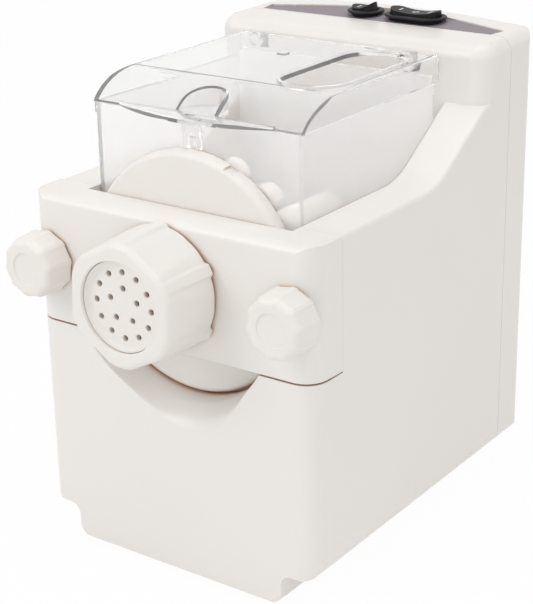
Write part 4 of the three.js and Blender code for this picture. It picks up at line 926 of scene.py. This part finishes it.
bar = prism("bar_shell", "x", rounded([
    (0, BAR_LOW), (BAR_REAR, BAR_LOW), (BAR_REAR, RIM_HEIGHT), (0, RIM_HEIGHT, BAR_FRONT_ROUND),
]), -HALF_WIDTH, HALF_WIDTH)
common(bar, prism("cutter", "z", plan_outline(0), 100, HIGH))
cut(
    bar,
    block("behind", -BAY_HALF, BAY_HALF, 21.5, 60, 100, HIGH),
    *[block("pocket", x0, x1, 4, 60, BAR_BOTTOM + 4, RIM_HEIGHT - 4)
      for x0, x1 in ((-72.3, -35.3), (35.3, 72.3))],
    rod("tube_hole", TUBE_CLEARANCE, -OVERRUN, 60, steps=96),
    *[rod("stud_hole", 5.5, -OVERRUN, 60, x, NUT_HEIGHT) for x in (-NUT_SPREAD, NUT_SPREAD)],
)
tidy_faces(bar)
round_edges(bar, 2.4, lambda m, d: abs(m.x) > 86 and m.z > 214 and m.y < BAR_DEPTH - 0.6, 4, 25)
round_edges(bar, 0.9, lambda m, d: m.y < 16 and m.z < BAR_LOW + 0.1, 4, 50)
soften(bar, 0.25)
finish(bar, shell_white, "front_end", "white_shell", "front_bar")


# %% [markdown]
# ## End plate and outlet tube
# The plate closes the bowl's round front port, and the screw pushes the dough through
# its tube. Everything on it is round, so one profile is drawn and spun. The small key
# notch at the upper right is cut afterwards.

# %% End plate
def quarter(radius, depth, size, start, end):
    """A rounded corner of a turned profile, as (radius, depth) points."""
    return arc(radius, depth, size, start, end, radians(15))


end_plate = turned("outlet_plate", [
    (25.6, -32), *quarter(29.0, -31.0, 1.0, -90, 0), (30, 20), *quarter(32.0, 20.0, 2.0, 180, 90),
    *quarter(68.2, 25.8, 3.8, -90, 0), (72, 30.1), (71.6, 30.5), (61.5, 30.5), (61.5, 34.1),
    (61.1, 34.5), (57.8, 34.5), (57.8, 27.7), (34.4, 27.7), (34.4, 34.5), (25, 34.5),
    (25, -31.4), (25.6, -32),
], steps=160)
KEY_ANGLE = radians(66)
KEY_HALF = 3.2
KEY_INNER = 70.4
KEY_OUTER = 78.0
along = Vector((cos(KEY_ANGLE), sin(KEY_ANGLE)))
across = Vector((-along.y, along.x)) * KEY_HALF
corners = [along * KEY_INNER - across, along * KEY_OUTER - across,
           along * KEY_OUTER + across, along * KEY_INNER + across]
cut(end_plate, prism("notch", "y", [(c.x, c.y + AXIS_HEIGHT) for c in corners], 10, 40))
tidy_faces(end_plate)
finish(end_plate, part_white, "front_end", "white_part", "end_plate")
seal = turned("outlet_seal", [
    (61.8, 30.7), (67.2, 30.7), (67.2, 30.9), (65.6, 31.0), (63.4, 31.0), (61.8, 30.9),
    (61.8, 30.7),
], steps=128)
finish(seal, pale_silicone, "front_end", "silicone", "plate_seal")


# %% [markdown]
# ## Cap nut of the die
# The cap nut is a softened hexagon with a grip rib on each corner, a little wider at its
# rear. A hexagon that grows, rounds and gets ribs is best made as a loft: the same
# outline is drawn at several depths and the rings are bridged.

# %% Ribbed nuts
RIB_HALF_ANGLE = 0.125
RIB_SLOPE_ANGLE = 0.055


def nut_outline(x, z, sides, phase, apothem, corner, rib, count):
    """A rounded polygon with a flat-topped rib on each corner, as points round (x, z)."""
    points = []
    for index in range(count):
        angle = 2 * pi * index / count
        off = abs((angle - phase + pi / sides) % (2 * pi / sides) - pi / sides)
        rise = min(max((RIB_HALF_ANGLE - off) / RIB_SLOPE_ANGLE, 0), 1)
        reach = min(apothem / cos(pi / sides - off), corner) + rib * rise * rise * (3 - 2 * rise)
        points.append((x + reach * cos(angle), z + reach * sin(angle)))
    return points


def edge_rings(start, end, size, parts=4):
    """How far a rounded edge is drawn in, from start to end of its depth."""
    rings = []
    for part in range(parts + 1):
        angle = pi / 2 * part / parts
        rings.append((start + (end - start) * (1 - cos(angle)), size * (1 - sin(angle))))
    return rings


def ribbed_nut(name, x, z, sides, phase, front, rear, shape, edge, count):
    """A grip whose outline changes from shape[0] at the front to shape[1] at the rear."""
    rings = []
    middle = [(front + edge + (rear - front - edge * 1.6) * share, 0.0) for share in (0.33, 0.66)]
    stations = edge_rings(front, front + edge, edge) + middle + [
        (y, draw) for y, draw in reversed(edge_rings(rear, rear - edge * 0.6, edge * 0.6, 3))]
    for depth, draw in stations:
        share = (depth - front) / (rear - front)
        low, high = shape
        apothem, corner, rib = (a + (b - a) * share for a, b in zip(low, high))
        rings.append((depth, nut_outline(
            x, z, sides, phase, apothem - draw, corner - draw, rib, count)))
    return loft(name, "y", rings)


DIE_NUT_FRONT = -40.5
DIE_NUT_REAR = -1.2
cap = ribbed_nut("die_cap_nut", 0, AXIS_HEIGHT, 6, radians(27), DIE_NUT_FRONT, DIE_NUT_REAR,
                 ((34.2, 36.2, 0.2), (37.1, 37.3, 2.4)), 3.4, 240)
cut(cap, rod("lip_hole", 26.5, -60, 0, steps=96), rod("bore", 30.7, -35.8, 10, steps=96))
tidy_faces(cap)
round_edges(cap, 0.8, lambda m, d: abs(m.y - DIE_NUT_FRONT) < 0.1
            and sqrt(m.x ** 2 + (m.z - AXIS_HEIGHT) ** 2) < 27.5, 4)
finish(cap, part_white, "die_nut", "white_part", "die_nut")


# %% [markdown]
# ## Die
# The die is a round plate with two rings of holes that shape the dough. A hole with a
# flared mouth is turned at each place of the two rings, and then all are cut.

# %% Die
DIE_FRONT = -35.5
DIE_REAR = -32.3
plate = turned("pasta_die", [
    (0, DIE_FRONT), (22.4, DIE_FRONT), (23.7, -35.7), (24.8, -36.3), (25.6, -37.2), (25.95, -38.2),
    (26.2, -38.2), (26.2, DIE_FRONT), *quarter(28.2, DIE_FRONT + 0.6, 0.6, -90, 0),
    *quarter(28.2, DIE_REAR - 0.6, 0.6, 0, 90), (0, DIE_REAR),
], steps=96)
holes = []
for radius, count in ((19.2, 12), (9.8, 5)):
    for index in range(count):
        angle = pi / 2 + 2 * pi * index / count
        holes.append(turned("hole", [
            (0, DIE_FRONT - 1), (2.3, DIE_FRONT - 0.1), (1.75, DIE_FRONT + 0.45),
            (1.75, DIE_REAR + 1), (0, DIE_REAR + 1),
        ], radius * cos(angle), AXIS_HEIGHT + radius * sin(angle), 16))
cut(plate, *holes)
finish(plate, part_white, "front_end", "white_part", "die_disc")


# %% [markdown]
# ## Thumb nuts
# Each thumb nut is a short, slightly tapered polygon with softened corners and a shallow
# round dish in its front. One is modelled on the left, then copied to the right.

# %% Thumb nuts
THUMB_FRONT = -20.4
thumb = ribbed_nut("thumb_knob_left", -NUT_SPREAD, NUT_HEIGHT, 10, radians(9), THUMB_FRONT, -0.3,
                   ((17.3, 17.9, 0.2), (18.6, 18.9, 0.65)), 4.0, 200)
dish = turned("dish", [
    (0, -30), (9.8, -30), (9.8, THUMB_FRONT - 0.1), (9.2, THUMB_FRONT + 0.8),
    (7.8, THUMB_FRONT + 1.2), (0, THUMB_FRONT + 1.3),
], -NUT_SPREAD, NUT_HEIGHT, 64)
cut(thumb, dish, rod("bore", 5.4, -16, 5, -NUT_SPREAD, NUT_HEIGHT, 32))
tidy_faces(thumb)
round_edges(thumb, 0.3, lambda m, d: abs(m.y - THUMB_FRONT) < 0.05
            and sqrt((m.x + NUT_SPREAD) ** 2 + (m.z - NUT_HEIGHT) ** 2) < 10, 3)


def copied(piece, name, way):
    """A copy with its own mesh, moved in edit mode so that its object stays put."""
    twin = piece.copy()
    twin.data = piece.data.copy()
    twin.name = name
    bpy.context.scene.collection.objects.link(twin)
    return shifted(twin, way)


TO_THE_RIGHT = Vector((2 * NUT_SPREAD * MM, 0, 0))
other_thumb = copied(thumb, "thumb_knob_right", TO_THE_RIGHT)
for knob, side in ((thumb, "left"), (other_thumb, "right")):
    finish(knob, part_white, f"thumb_nut_{side}", "white_part", f"thumb_nut_{side}")


# %% [markdown]
# ## Threaded studs
# The thumb nuts run on two steel studs that are fixed in the housing. Their thread is
# drawn as a row of ridges in the turned profile, because it is only seen edge-on when
# the bar is drawn forward.

# %% Studs
ridges = []
for index in range(10):
    start = -14.4 + index * 1.5
    ridges += [(4.3, start), (4.9, start + 0.55), (4.9, start + 0.75), (4.3, start + 1.3)]
stud = turned("stud_left", [
    (0, -15), (3.8, -15), *ridges, (4.9, 1.2), (4.9, 32), (9, 32), (9, 34.6), (8.6, 35), (0, 35),
], -NUT_SPREAD, NUT_HEIGHT, 40)
other_stud = copied(stud, "stud_right", TO_THE_RIGHT)
for piece, side in ((stud, "left"), (other_stud, "right")):
    finish(piece, turned_steel, "housing", "steel", f"clamp_stud_{side}")


# %% [markdown]
# ## Clear bowl
# The bowl is straight-sided above and half round below, with a stiff rim, a round port
# in front and a hole for the drive at the back. Its outer corners are rounded before the
# rim is added and before the room is cut out, so that the wall keeps one thickness.

# %% Bowl
BOWL_FRONT = 31.2
BOWL_REAR = 172.0
BOWL_NECK = 72.3
BOWL_WALL = 2.6
BOWL_TOP = 269.4

bowl = prism("clear_bowl", "y", u_outline(BOWL_NECK, BOWL_TOP - 2, radians(3)),
             BOWL_FRONT, BOWL_REAR)
round_edges(bowl, 2.0, lambda m, d: min(abs(m.y - BOWL_FRONT), abs(m.y - BOWL_REAR)) < 0.01
            and m.z < BOWL_TOP - 2.5, 5)
flange = block("flange", -73.2, 73.2, BOWL_FRONT, BOWL_REAR, BOWL_TOP - 6, BOWL_TOP)
round_edges(flange, 1.6, lambda m, d: abs(d.z) > 0.9, 4)
riser = block("riser", -69.7, 69.7, BOWL_REAR - BOWL_WALL, BOWL_REAR, BOWL_TOP - 6, 273.5)
join(bowl, flange, riser)
room = prism("room", "y", u_outline(BOWL_NECK - BOWL_WALL, HIGH, radians(3)),
             BOWL_FRONT + BOWL_WALL, BOWL_REAR - BOWL_WALL)
cut(bowl, room, rod("port", 62, 10, BOWL_FRONT + 5, steps=128), rod("shaft_hole", 9, 160, 180))
join(bowl, block("bead", -1.5, 1.5, BOWL_FRONT - 2, BOWL_FRONT + 1.3, 254, 259))
tidy_faces(bowl)
soften(bowl, 0.5, sharp=50)
finish(bowl, clear_bowl_finish, "bowl", "clear", "mixing_bowl")


# %% [markdown]
# ## Clear lid
# The lid is a shallow tray turned upside down: one block with the lid's outside, less
# a block with its inside. The inside block leaves out a round post, which becomes the
# wall of the finger recess. Cutting planes always pass beyond the faces they cut, so
# that no two faces lie on each other.

# %% Lid
LID_HALF = 73.4
LID_BOTTOM = 269.8
LID_TOP = 285.3
LID_FRONT = 31.6
LID_REAR = 175.5
LID_WALL = 2.2
SLOT_CENTRE = 45.5

lid_curve = bezier((LID_FRONT, LID_BOTTOM), (36.2, 276.6), (46.2, 280.8), 8)
lid_curve += bezier((46.2, 280.8), (54.5, 284.3), (66, LID_TOP), 8)[1:]


def drawn_in(curve, inset):
    """A curve moved to its right-hand side by an inset."""
    moved = []
    for index, here in enumerate(curve):
        ahead = Vector(curve[min(index + 1, len(curve) - 1)])
        behind = Vector(curve[max(index - 1, 0)])
        way = (ahead - behind).normalized()
        moved.append((here[0] + way.y * inset, here[1] - way.x * inset))
    return moved


def lid_block(name, inset, rear, bottom):
    """The lid's form as a full block, drawn in by an inset."""
    curve = drawn_in(lid_curve, inset)
    top = LID_TOP - inset
    half = LID_HALF - inset
    edge = 4 - inset * 0.8
    curve[-1] = (curve[-1][0], top)
    full = prism(name, "x", [(curve[0][0], bottom)] + curve + [(rear, top), (rear, bottom)],
                 -FAR, FAR)
    end = rounded([(-half, 200), (half, 200), (half, top, edge), (-half, top, edge)])
    return common(full, prism("cutter", "y", end, 0, 220))


# %% [markdown]
# The block then gets its lip, the finger recess, the filling slot with its raised rim,
# two hinge tabs, a pip and the forked catch. What is clear must be one closed wall,
# so every addition runs well into the lid before it is joined.

# %% Lip, recess, slot, tabs and catch of the lid
def arch_outline(radius, front):
    """The finger recess from above: a half round behind two straight sides."""
    return [(-radius, front), (radius, front)] + arc(0, 40, radius, 0, 180)


def slot_outline(radius):
    """The filling slot from above, round at both ends."""
    return (arc(SLOT_CENTRE, 87, radius, 180, 360) + arc(SLOT_CENTRE, 146, radius, 0, 180))


lid = lid_block("clear_lid", 0, LID_REAR + 4, LID_BOTTOM - 4)
join(lid, prism("lip", "z", [(54, LID_FRONT + 6), (-54, LID_FRONT + 6)]
                + bezier((-54, LID_FRONT), (0, LID_FRONT - 28), (54, LID_FRONT), 28),
                LID_BOTTOM - 3, LID_BOTTOM + 2.2))
room = lid_block("room", LID_WALL, LID_REAR + 20, LID_BOTTOM - 12)
cut(room, prism("post", "z", arch_outline(15, 10), LID_BOTTOM - 20, HIGH))
cut(lid, room, block("below", -FAR, FAR, 0, 200, 240, LID_BOTTOM),
    block("behind", -FAR, FAR, LID_REAR, 220, 240, HIGH))
slot_rim = prism("slot_rim", "z", slot_outline(23), LID_TOP - LID_WALL / 2, LID_TOP + 1.6)
tabs = []
for x in TAB_PLACES:
    tabs.append(prism("tab", "x", [
        (LID_REAR - 6.6, LID_TOP - 1.1), (LID_REAR - 6.6, LID_TOP - 4.4), (LID_REAR - 2.2, 275.5),
        (190.5, 275.5), (190.5, 278.5), (LID_REAR + 2.2, 278.5), (LID_REAR, LID_TOP - 1.1),
    ], x - 1.6, x + 1.6))
pip = upright("pip", [
    (0, LID_TOP - 1), (4, LID_TOP - 1), (4, LID_TOP + 0.4), (3.6, LID_TOP + 0.7),
    (0, LID_TOP + 0.7),
], -10, 133, 32)
tongue = block("tongue", -6, 6, BOWL_FRONT - 2.5, BOWL_FRONT - 0.3, 252.8, LID_BOTTOM + 2)
cut(tongue, block("fork", -3, 3, 20, 40, 240, 260.4))
join(lid, slot_rim, pip, *tabs)
cut(lid, prism("pull", "z", arch_outline(13, 0), LID_BOTTOM + 2.2, HIGH),
    prism("slot", "z", slot_outline(21), 260, HIGH))
join(lid, tongue)
soften(lid, 0.35, segments=2, sharp=40)
finish(lid, clear_lid_finish, "lid", "clear", "lid")


# %% [markdown]
# ## Mixing paddle and screw
# One white moulding mixes the flour in the bowl with three forked arms and then pushes
# the dough into the tube with a screw. A small outline is drawn and wound round the
# axis with the Screw modifier to make the flight. The same arm is made three times,
# each turned a third further round the axis.

# %% Paddle and screw
paddle = turned("mixing_paddle", [
    (0, -29.5), (5.0, -29.5), (5.6, -29.1), (9, -23.3), (9, 26.6), (12, 33.4), (12, 165.4),
    (11.4, 166), (0, 166),
], steps=48)
SCREW_PITCH = 21.0
SCREW_START = -27.8
SCREW_LENGTH = 56.1
pick()
wire([spot(radius, SCREW_START + offset, AXIS_HEIGHT) for radius, offset in (
    (4.5, -1.7), (23.4, -1.0), (24.1, -0.5), (24.1, 0.5), (23.4, 1.0), (4.5, 1.7))])
bpy.ops.object.mode_set(mode="OBJECT")
flight = bpy.context.object
bpy.ops.object.transform_apply(location=True, rotation=True, scale=True)
shifted(flight, -spot(0, 0, AXIS_HEIGHT))
bpy.ops.object.modifier_add(type="SCREW")
winding = flight.modifiers[-1]
winding.axis = "Y"
winding.angle = -2 * pi * SCREW_LENGTH / SCREW_PITCH
winding.screw_offset = SCREW_LENGTH * MM
winding.steps = winding.render_steps = 96
winding.use_normal_calculate = True
bpy.ops.object.modifier_apply(modifier=winding.name)
shifted(flight, spot(0, 0, AXIS_HEIGHT))
edit(flight)
cap_ends("flight")
ARM_LENGTH = 56.5
ARM_DEPTH = 13.0
LOBE_RADIUS = 8.6


def paddle_arm(name, start, angle):
    """One forked arm, drawn pointing sideways and turned round the drive axis."""
    outline = rounded([
        (0, -9), (28, -5.2, 30), (ARM_LENGTH, -13, 4), (ARM_LENGTH, 13, 4), (28, 5.2, 30), (0, 9),
    ])
    end = start + ARM_DEPTH
    arm = prism(name, "y", [(u, v + AXIS_HEIGHT) for u, v in outline], start, end)
    for lobe in (radians(-13), radians(13)):
        join(arm, rod("lobe", LOBE_RADIUS, start, end, ARM_LENGTH * cos(lobe),
                      AXIS_HEIGHT + ARM_LENGTH * sin(lobe), 40))
    tidy_faces(arm)
    soften(arm, 2.4, segments=4, sharp=50)
    return tipped(arm, angle, 0, 0, AXIS_HEIGHT)


arms = [paddle_arm("arm", 42 + index * 42, 64 + index * 120) for index in range(3)]
join(paddle, flight, *arms)
cut(paddle, block("socket", -4, 4, 144, 180, 176, 184))
tidy_faces(paddle)
finish(paddle, part_white, "screw", "white_part", "mixing_screw")


# %% [markdown]
# ## Control panel and switches
# The panel is a thin taupe plate sunk in the cover, with the same crown as the cover.

# %% Control panel
control_plate = prism("control_plate", "z", panel_outline(GAP), SEAT_START, HIGH)
common(control_plate, crown_slab("cutter", -2.2, -0.7))
cut(control_plate, *[prism("window", "z", switch_outline(switch, WINDOW_INSET), SEAT_START, HIGH)
                     for switch in (ROUND_SWITCH, LONG_SWITCH)])
tidy_faces(control_plate)
soften(control_plate, 0.5, segments=3, sharp=50)
finish(control_plate, panel_taupe, "housing", "taupe", "control_panel")


# %% [markdown]
# Each switch has a wide soft gasket that overhangs a narrow skirt, over a body that
# hangs in the cover. A frame is a loft through the heights below, less a loft for the
# rocker's well.

# %% Switch frames
FRAME_SHAPE = ((267.9, 3.4), (291.4, 3.4), (294.0, 1.9), (294.1, 0.8), (294.4, 0.15),
               (294.8, 0.0), (295.25, 0.15), (295.6, 0.5), (295.8, 1.2))
WELL_SHAPE = ((270.9, 4.0), (289, 4.0), (296.0, 3.1))


def switch_frame(name, switch, node):
    """Body, skirt and soft gasket of one switch, open for its rocker."""
    frame_piece = loft(name, "z", [
        (height, switch_outline(switch, inset, ARC_STEP)) for height, inset in FRAME_SHAPE])
    well = loft("well", "z", [
        (height, switch_outline(switch, inset)) for height, inset in WELL_SHAPE])
    cut(frame_piece, well)
    tidy_faces(frame_piece)
    soften(frame_piece, 0.2, segments=2, sharp=60)
    return finish(frame_piece, satin_black, "housing", "black", node)


switch_frame("power_gasket", ROUND_SWITCH, "power_switch_frame")
switch_frame("mode_gasket", LONG_SWITCH, "mode_switch_frame")


# %% [markdown]
# A rocker has a dished top and a curved heel. It is drawn level and then tipped about
# its pin to where it rests.

# %% Rockers
ROCKER_INSET = 3.8
ROCKER_PIN = 292.6
DISH_TIP = 299.6
DISH_LEAD = 294.8
HEEL_TIP = 290.6
HEEL_LEAD = 286.8
HEEL_SHARE = 0.88


def dish_curve(switch):
    """The dished top of a level rocker, from right to left."""
    centre, straight = switch
    reach = SWITCH_RADIUS - ROCKER_INSET + straight
    return bezier((centre + reach, DISH_TIP), (centre, DISH_LEAD), (centre - reach, DISH_TIP), 14)


def rocker(name, switch, tilt, body, node):
    """A key with a dished top and a curved heel, tipped to its rest."""
    centre, straight = switch
    heel = (SWITCH_RADIUS - ROCKER_INSET + straight) * HEEL_SHARE
    heel_curve = bezier((centre - heel, HEEL_TIP), (centre, HEEL_LEAD), (centre + heel, HEEL_TIP))
    key = prism(name, "y", heel_curve + dish_curve(switch), SWITCH_DEPTH - 7, SWITCH_DEPTH + 7)
    common(key, prism("cutter", "z", switch_outline(switch, ROCKER_INSET, ARC_STEP),
                      SEAT_START, HIGH))
    tidy_faces(key)
    soften(key, 0.6, segments=3, sharp=40)
    tipped(key, tilt, centre, SWITCH_DEPTH, ROCKER_PIN)
    return finish(key, satin_black, body, "black", node)


POWER_TILT = 10
rocker("power_key", ROUND_SWITCH, POWER_TILT, "power_rocker", "power_rocker")
rocker("mode_key", LONG_SWITCH, 0, "mode_rocker", "mode_rocker")


# %% [markdown]
# The generic marks I, O and II are thin pads: a skin that follows the dish, kept only
# inside a stroke or a ring.

# %% Marks on the rockers
STROKE_HALF_WIDTH = 0.45
STROKE_HALF_LENGTH = 2.6
RING_INNER = 1.5
RING_OUTER = 2.2
MARK_SUNK = 0.4
MARK_RAISED = 0.07
MARK_RANGE = (285, 305)


def mark(name, switch, tilt, body, x, kind):
    """A thin stroke or ring that follows the dish of its rocker."""
    dish = dish_curve(switch)
    under = [(u, v - MARK_SUNK) for u, v in dish]
    over = [(u, v + MARK_RAISED) for u, v in reversed(dish)]
    skin = prism(name, "y", under + over, SWITCH_DEPTH - 4, SWITCH_DEPTH + 4)
    low, high = MARK_RANGE
    if kind == "ring":
        common(skin, upright("cutter", [(RING_INNER, low), (RING_OUTER, low), (RING_OUTER, high),
                                        (RING_INNER, high), (RING_INNER, low)],
                             x, SWITCH_DEPTH, 32))
    else:
        common(skin, block("cutter", x - STROKE_HALF_WIDTH, x + STROKE_HALF_WIDTH,
                           SWITCH_DEPTH - STROKE_HALF_LENGTH, SWITCH_DEPTH + STROKE_HALF_LENGTH,
                           low, high))
    tipped(skin, tilt, switch[0], SWITCH_DEPTH, ROCKER_PIN)
    return finish(skin, mark_white, body, "white_part")


for sign, x, kind in (("on", -16.6, "stroke"), ("off", -8.6, "ring")):
    mark(f"power_mark_{sign}", ROUND_SWITCH, POWER_TILT, "power_rocker", x, kind)
for sign, x, kind in (("one", 14.0, "stroke"), ("off", 24.6, "ring"),
                      ("two_left", 34.4, "stroke"), ("two_right", 35.9, "stroke")):
    mark(f"mode_mark_{sign}", LONG_SWITCH, 0, "mode_rocker", x, kind)


# %% [markdown]
# ## Cord gland and feet
# The gland is a turned collar in the rear wall.

# %% Gland
gland = turned("cord_gland", [
    (4, 238), (7.5, 238), (7.5, 250.3), (10, 250.3), *quarter(9.2, 251.2, 0.8, 0, 90),
    (6.2, 252.0), (5.6, 251.4), (4.4, 251.4), (4, 251.0), (4, 238),
], *GLAND_SPOT, 64)
finish(gland, satin_black, "housing", "black", "cord_bush")


# %% [markdown]
# The feet are turned about an upright line; one is modelled and copied to the other
# three places.

# %% Feet
foot = upright("rubber_foot_front_left", [
    (0, 5.9), (3.6, 5.9), (4, 5.5), (4, 0.1), (9, 0.1), (9, -1.4), (8.8, -1.7), (8.2, -1.9),
    (7.9, -2.7), (7.5, -3), (6.2, -3), (5.6, -2.6), (0, -2.6),
], -58, 24)
FOOT_PLACES = {
    "front_left": (0, 0), "front_right": (116, 0), "rear_left": (0, 202), "rear_right": (116, 202)}
for place, (right_by, back_by) in FOOT_PLACES.items():
    piece = foot if place == "front_left" else copied(
        foot, f"rubber_foot_{place}", Vector((right_by * MM, back_by * MM, 0)))
    finish(piece, black_rubber, "housing", "rubber", f"foot_{place}")


# %% [markdown]
# ## Floor, light and background
# A white product shot is lit softly from all round, with the strongest panel on the
# front left, so that the side away from it turns a little darker. The camera sees a
# white world and a white floor, while the light on the object stays at a plain level.

# %% Studio
LIT_SHARE = 0.58
FLOOR_WHITE = 0.97


def white_where_seen(tree, weight):
    """How far a ray that is seen directly, in gloss or through glass sees plain white."""
    path = Wire(tree)
    ray = tree.nodes.new("ShaderNodeLightPath")
    seen = [Wire(tree, ray.outputs[name])
            for name in ("Is Camera Ray", "Is Glossy Ray", "Is Transmission Ray")]
    total = path.math("MAXIMUM", path.math("MAXIMUM", seen[0], seen[1]), seen[2])
    return total * weight


world = bpy.data.worlds.new("studio")
bpy.context.scene.world = world
world.use_nodes = True
sky = world.node_tree.nodes["Background"]
seen = white_where_seen(world.node_tree, 1.0)
strength = seen * (1 - LIT_SHARE) + LIT_SHARE
world.node_tree.links.new(strength.socket, sky.inputs["Strength"])
sky.inputs["Color"].default_value = (1.0, 0.995, 0.985, 1.0)

pick()
bpy.ops.mesh.primitive_grid_add(size=8, x_subdivisions=8, y_subdivisions=8, location=(0, 0, 0))
floor = bpy.context.object
floor.name = "floor"
pale = bpy.data.materials.new("pale_floor")
pale.use_nodes = True
floor_tree = pale.node_tree
floor_shader = floor_tree.nodes["Principled BSDF"]
floor_shader.inputs["Base Color"].default_value = (0.9, 0.895, 0.89, 1.0)
floor_shader.inputs["Roughness"].default_value = 0.9
glow = Wire(floor_tree).node("ShaderNodeEmission", {}, {"Color": (1, 1, 1, 1), "Strength": 1.0})
blend = Wire(floor_tree).node("ShaderNodeMixShader", {}, {
    0: white_where_seen(floor_tree, FLOOR_WHITE), 1: Wire(floor_tree, floor_shader.outputs[0]),
    2: glow})
floor_tree.links.new(blend.socket, floor_tree.nodes["Material Output"].inputs["Surface"])
floor.data.materials.append(pale)


def lamp(name, place, size, power, aim=(0, 0, 0.15)):
    """A square soft light that points at the machine."""
    data = bpy.data.lights.new(name, "AREA")
    data.shape = "SQUARE"
    data.size = size
    data.energy = power
    light = bpy.data.objects.new(name, data)
    bpy.context.scene.collection.objects.link(light)
    light.location = place
    light.rotation_euler = (Vector(place) - Vector(aim)).to_track_quat("Z", "Y").to_euler()
    return light


lamp("key_light", (-0.9, -1.5, 1.3), 1.2, 11.5)
lamp("top_light", (0.2, 0.1, 1.9), 1.4, 8.5)
lamp("side_light", (1.8, -0.2, 0.9), 1.2, 3.5)
lamp("low_fill", (1.1, -1.7, 0.35), 1.5, 4)
bpy.context.scene.view_settings.view_transform = "Standard"

# %% [markdown]
# ## The pieces that the frame brings
# What sits inside is shown as the frame has it, and only gets its finish here.

# %% Finishes of the frame's own nodes
NODE_FINISHES = (
    (part_white, ("base_plate",)),
    (pale_silicone, ("shaft_seal",)),
    (turned_steel, ("output_shaft", "lay_shaft")),
    (natural_nylon, ("output_gear", "lay_gear")),
    (turned_brass, ("motor_pinion", "front_bush", "rear_bush")),
    (copper_winding, ("motor_armature",)),
    (plate_steel, ("motor_can", "motor_bell", "gearbox_front_plate", "gearbox_rear_plate")),
    (satin_black, ("motor_fan", "lid_safety_switch")),
    (board_green, ("control_board",)),
)
for material, nodes in NODE_FINISHES:
    for node in nodes:
        node_mesh = frame["nodes"][node].data
        node_mesh.materials.clear()
        node_mesh.materials.append(material)
    print(material.name, "on", ", ".join(nodes))
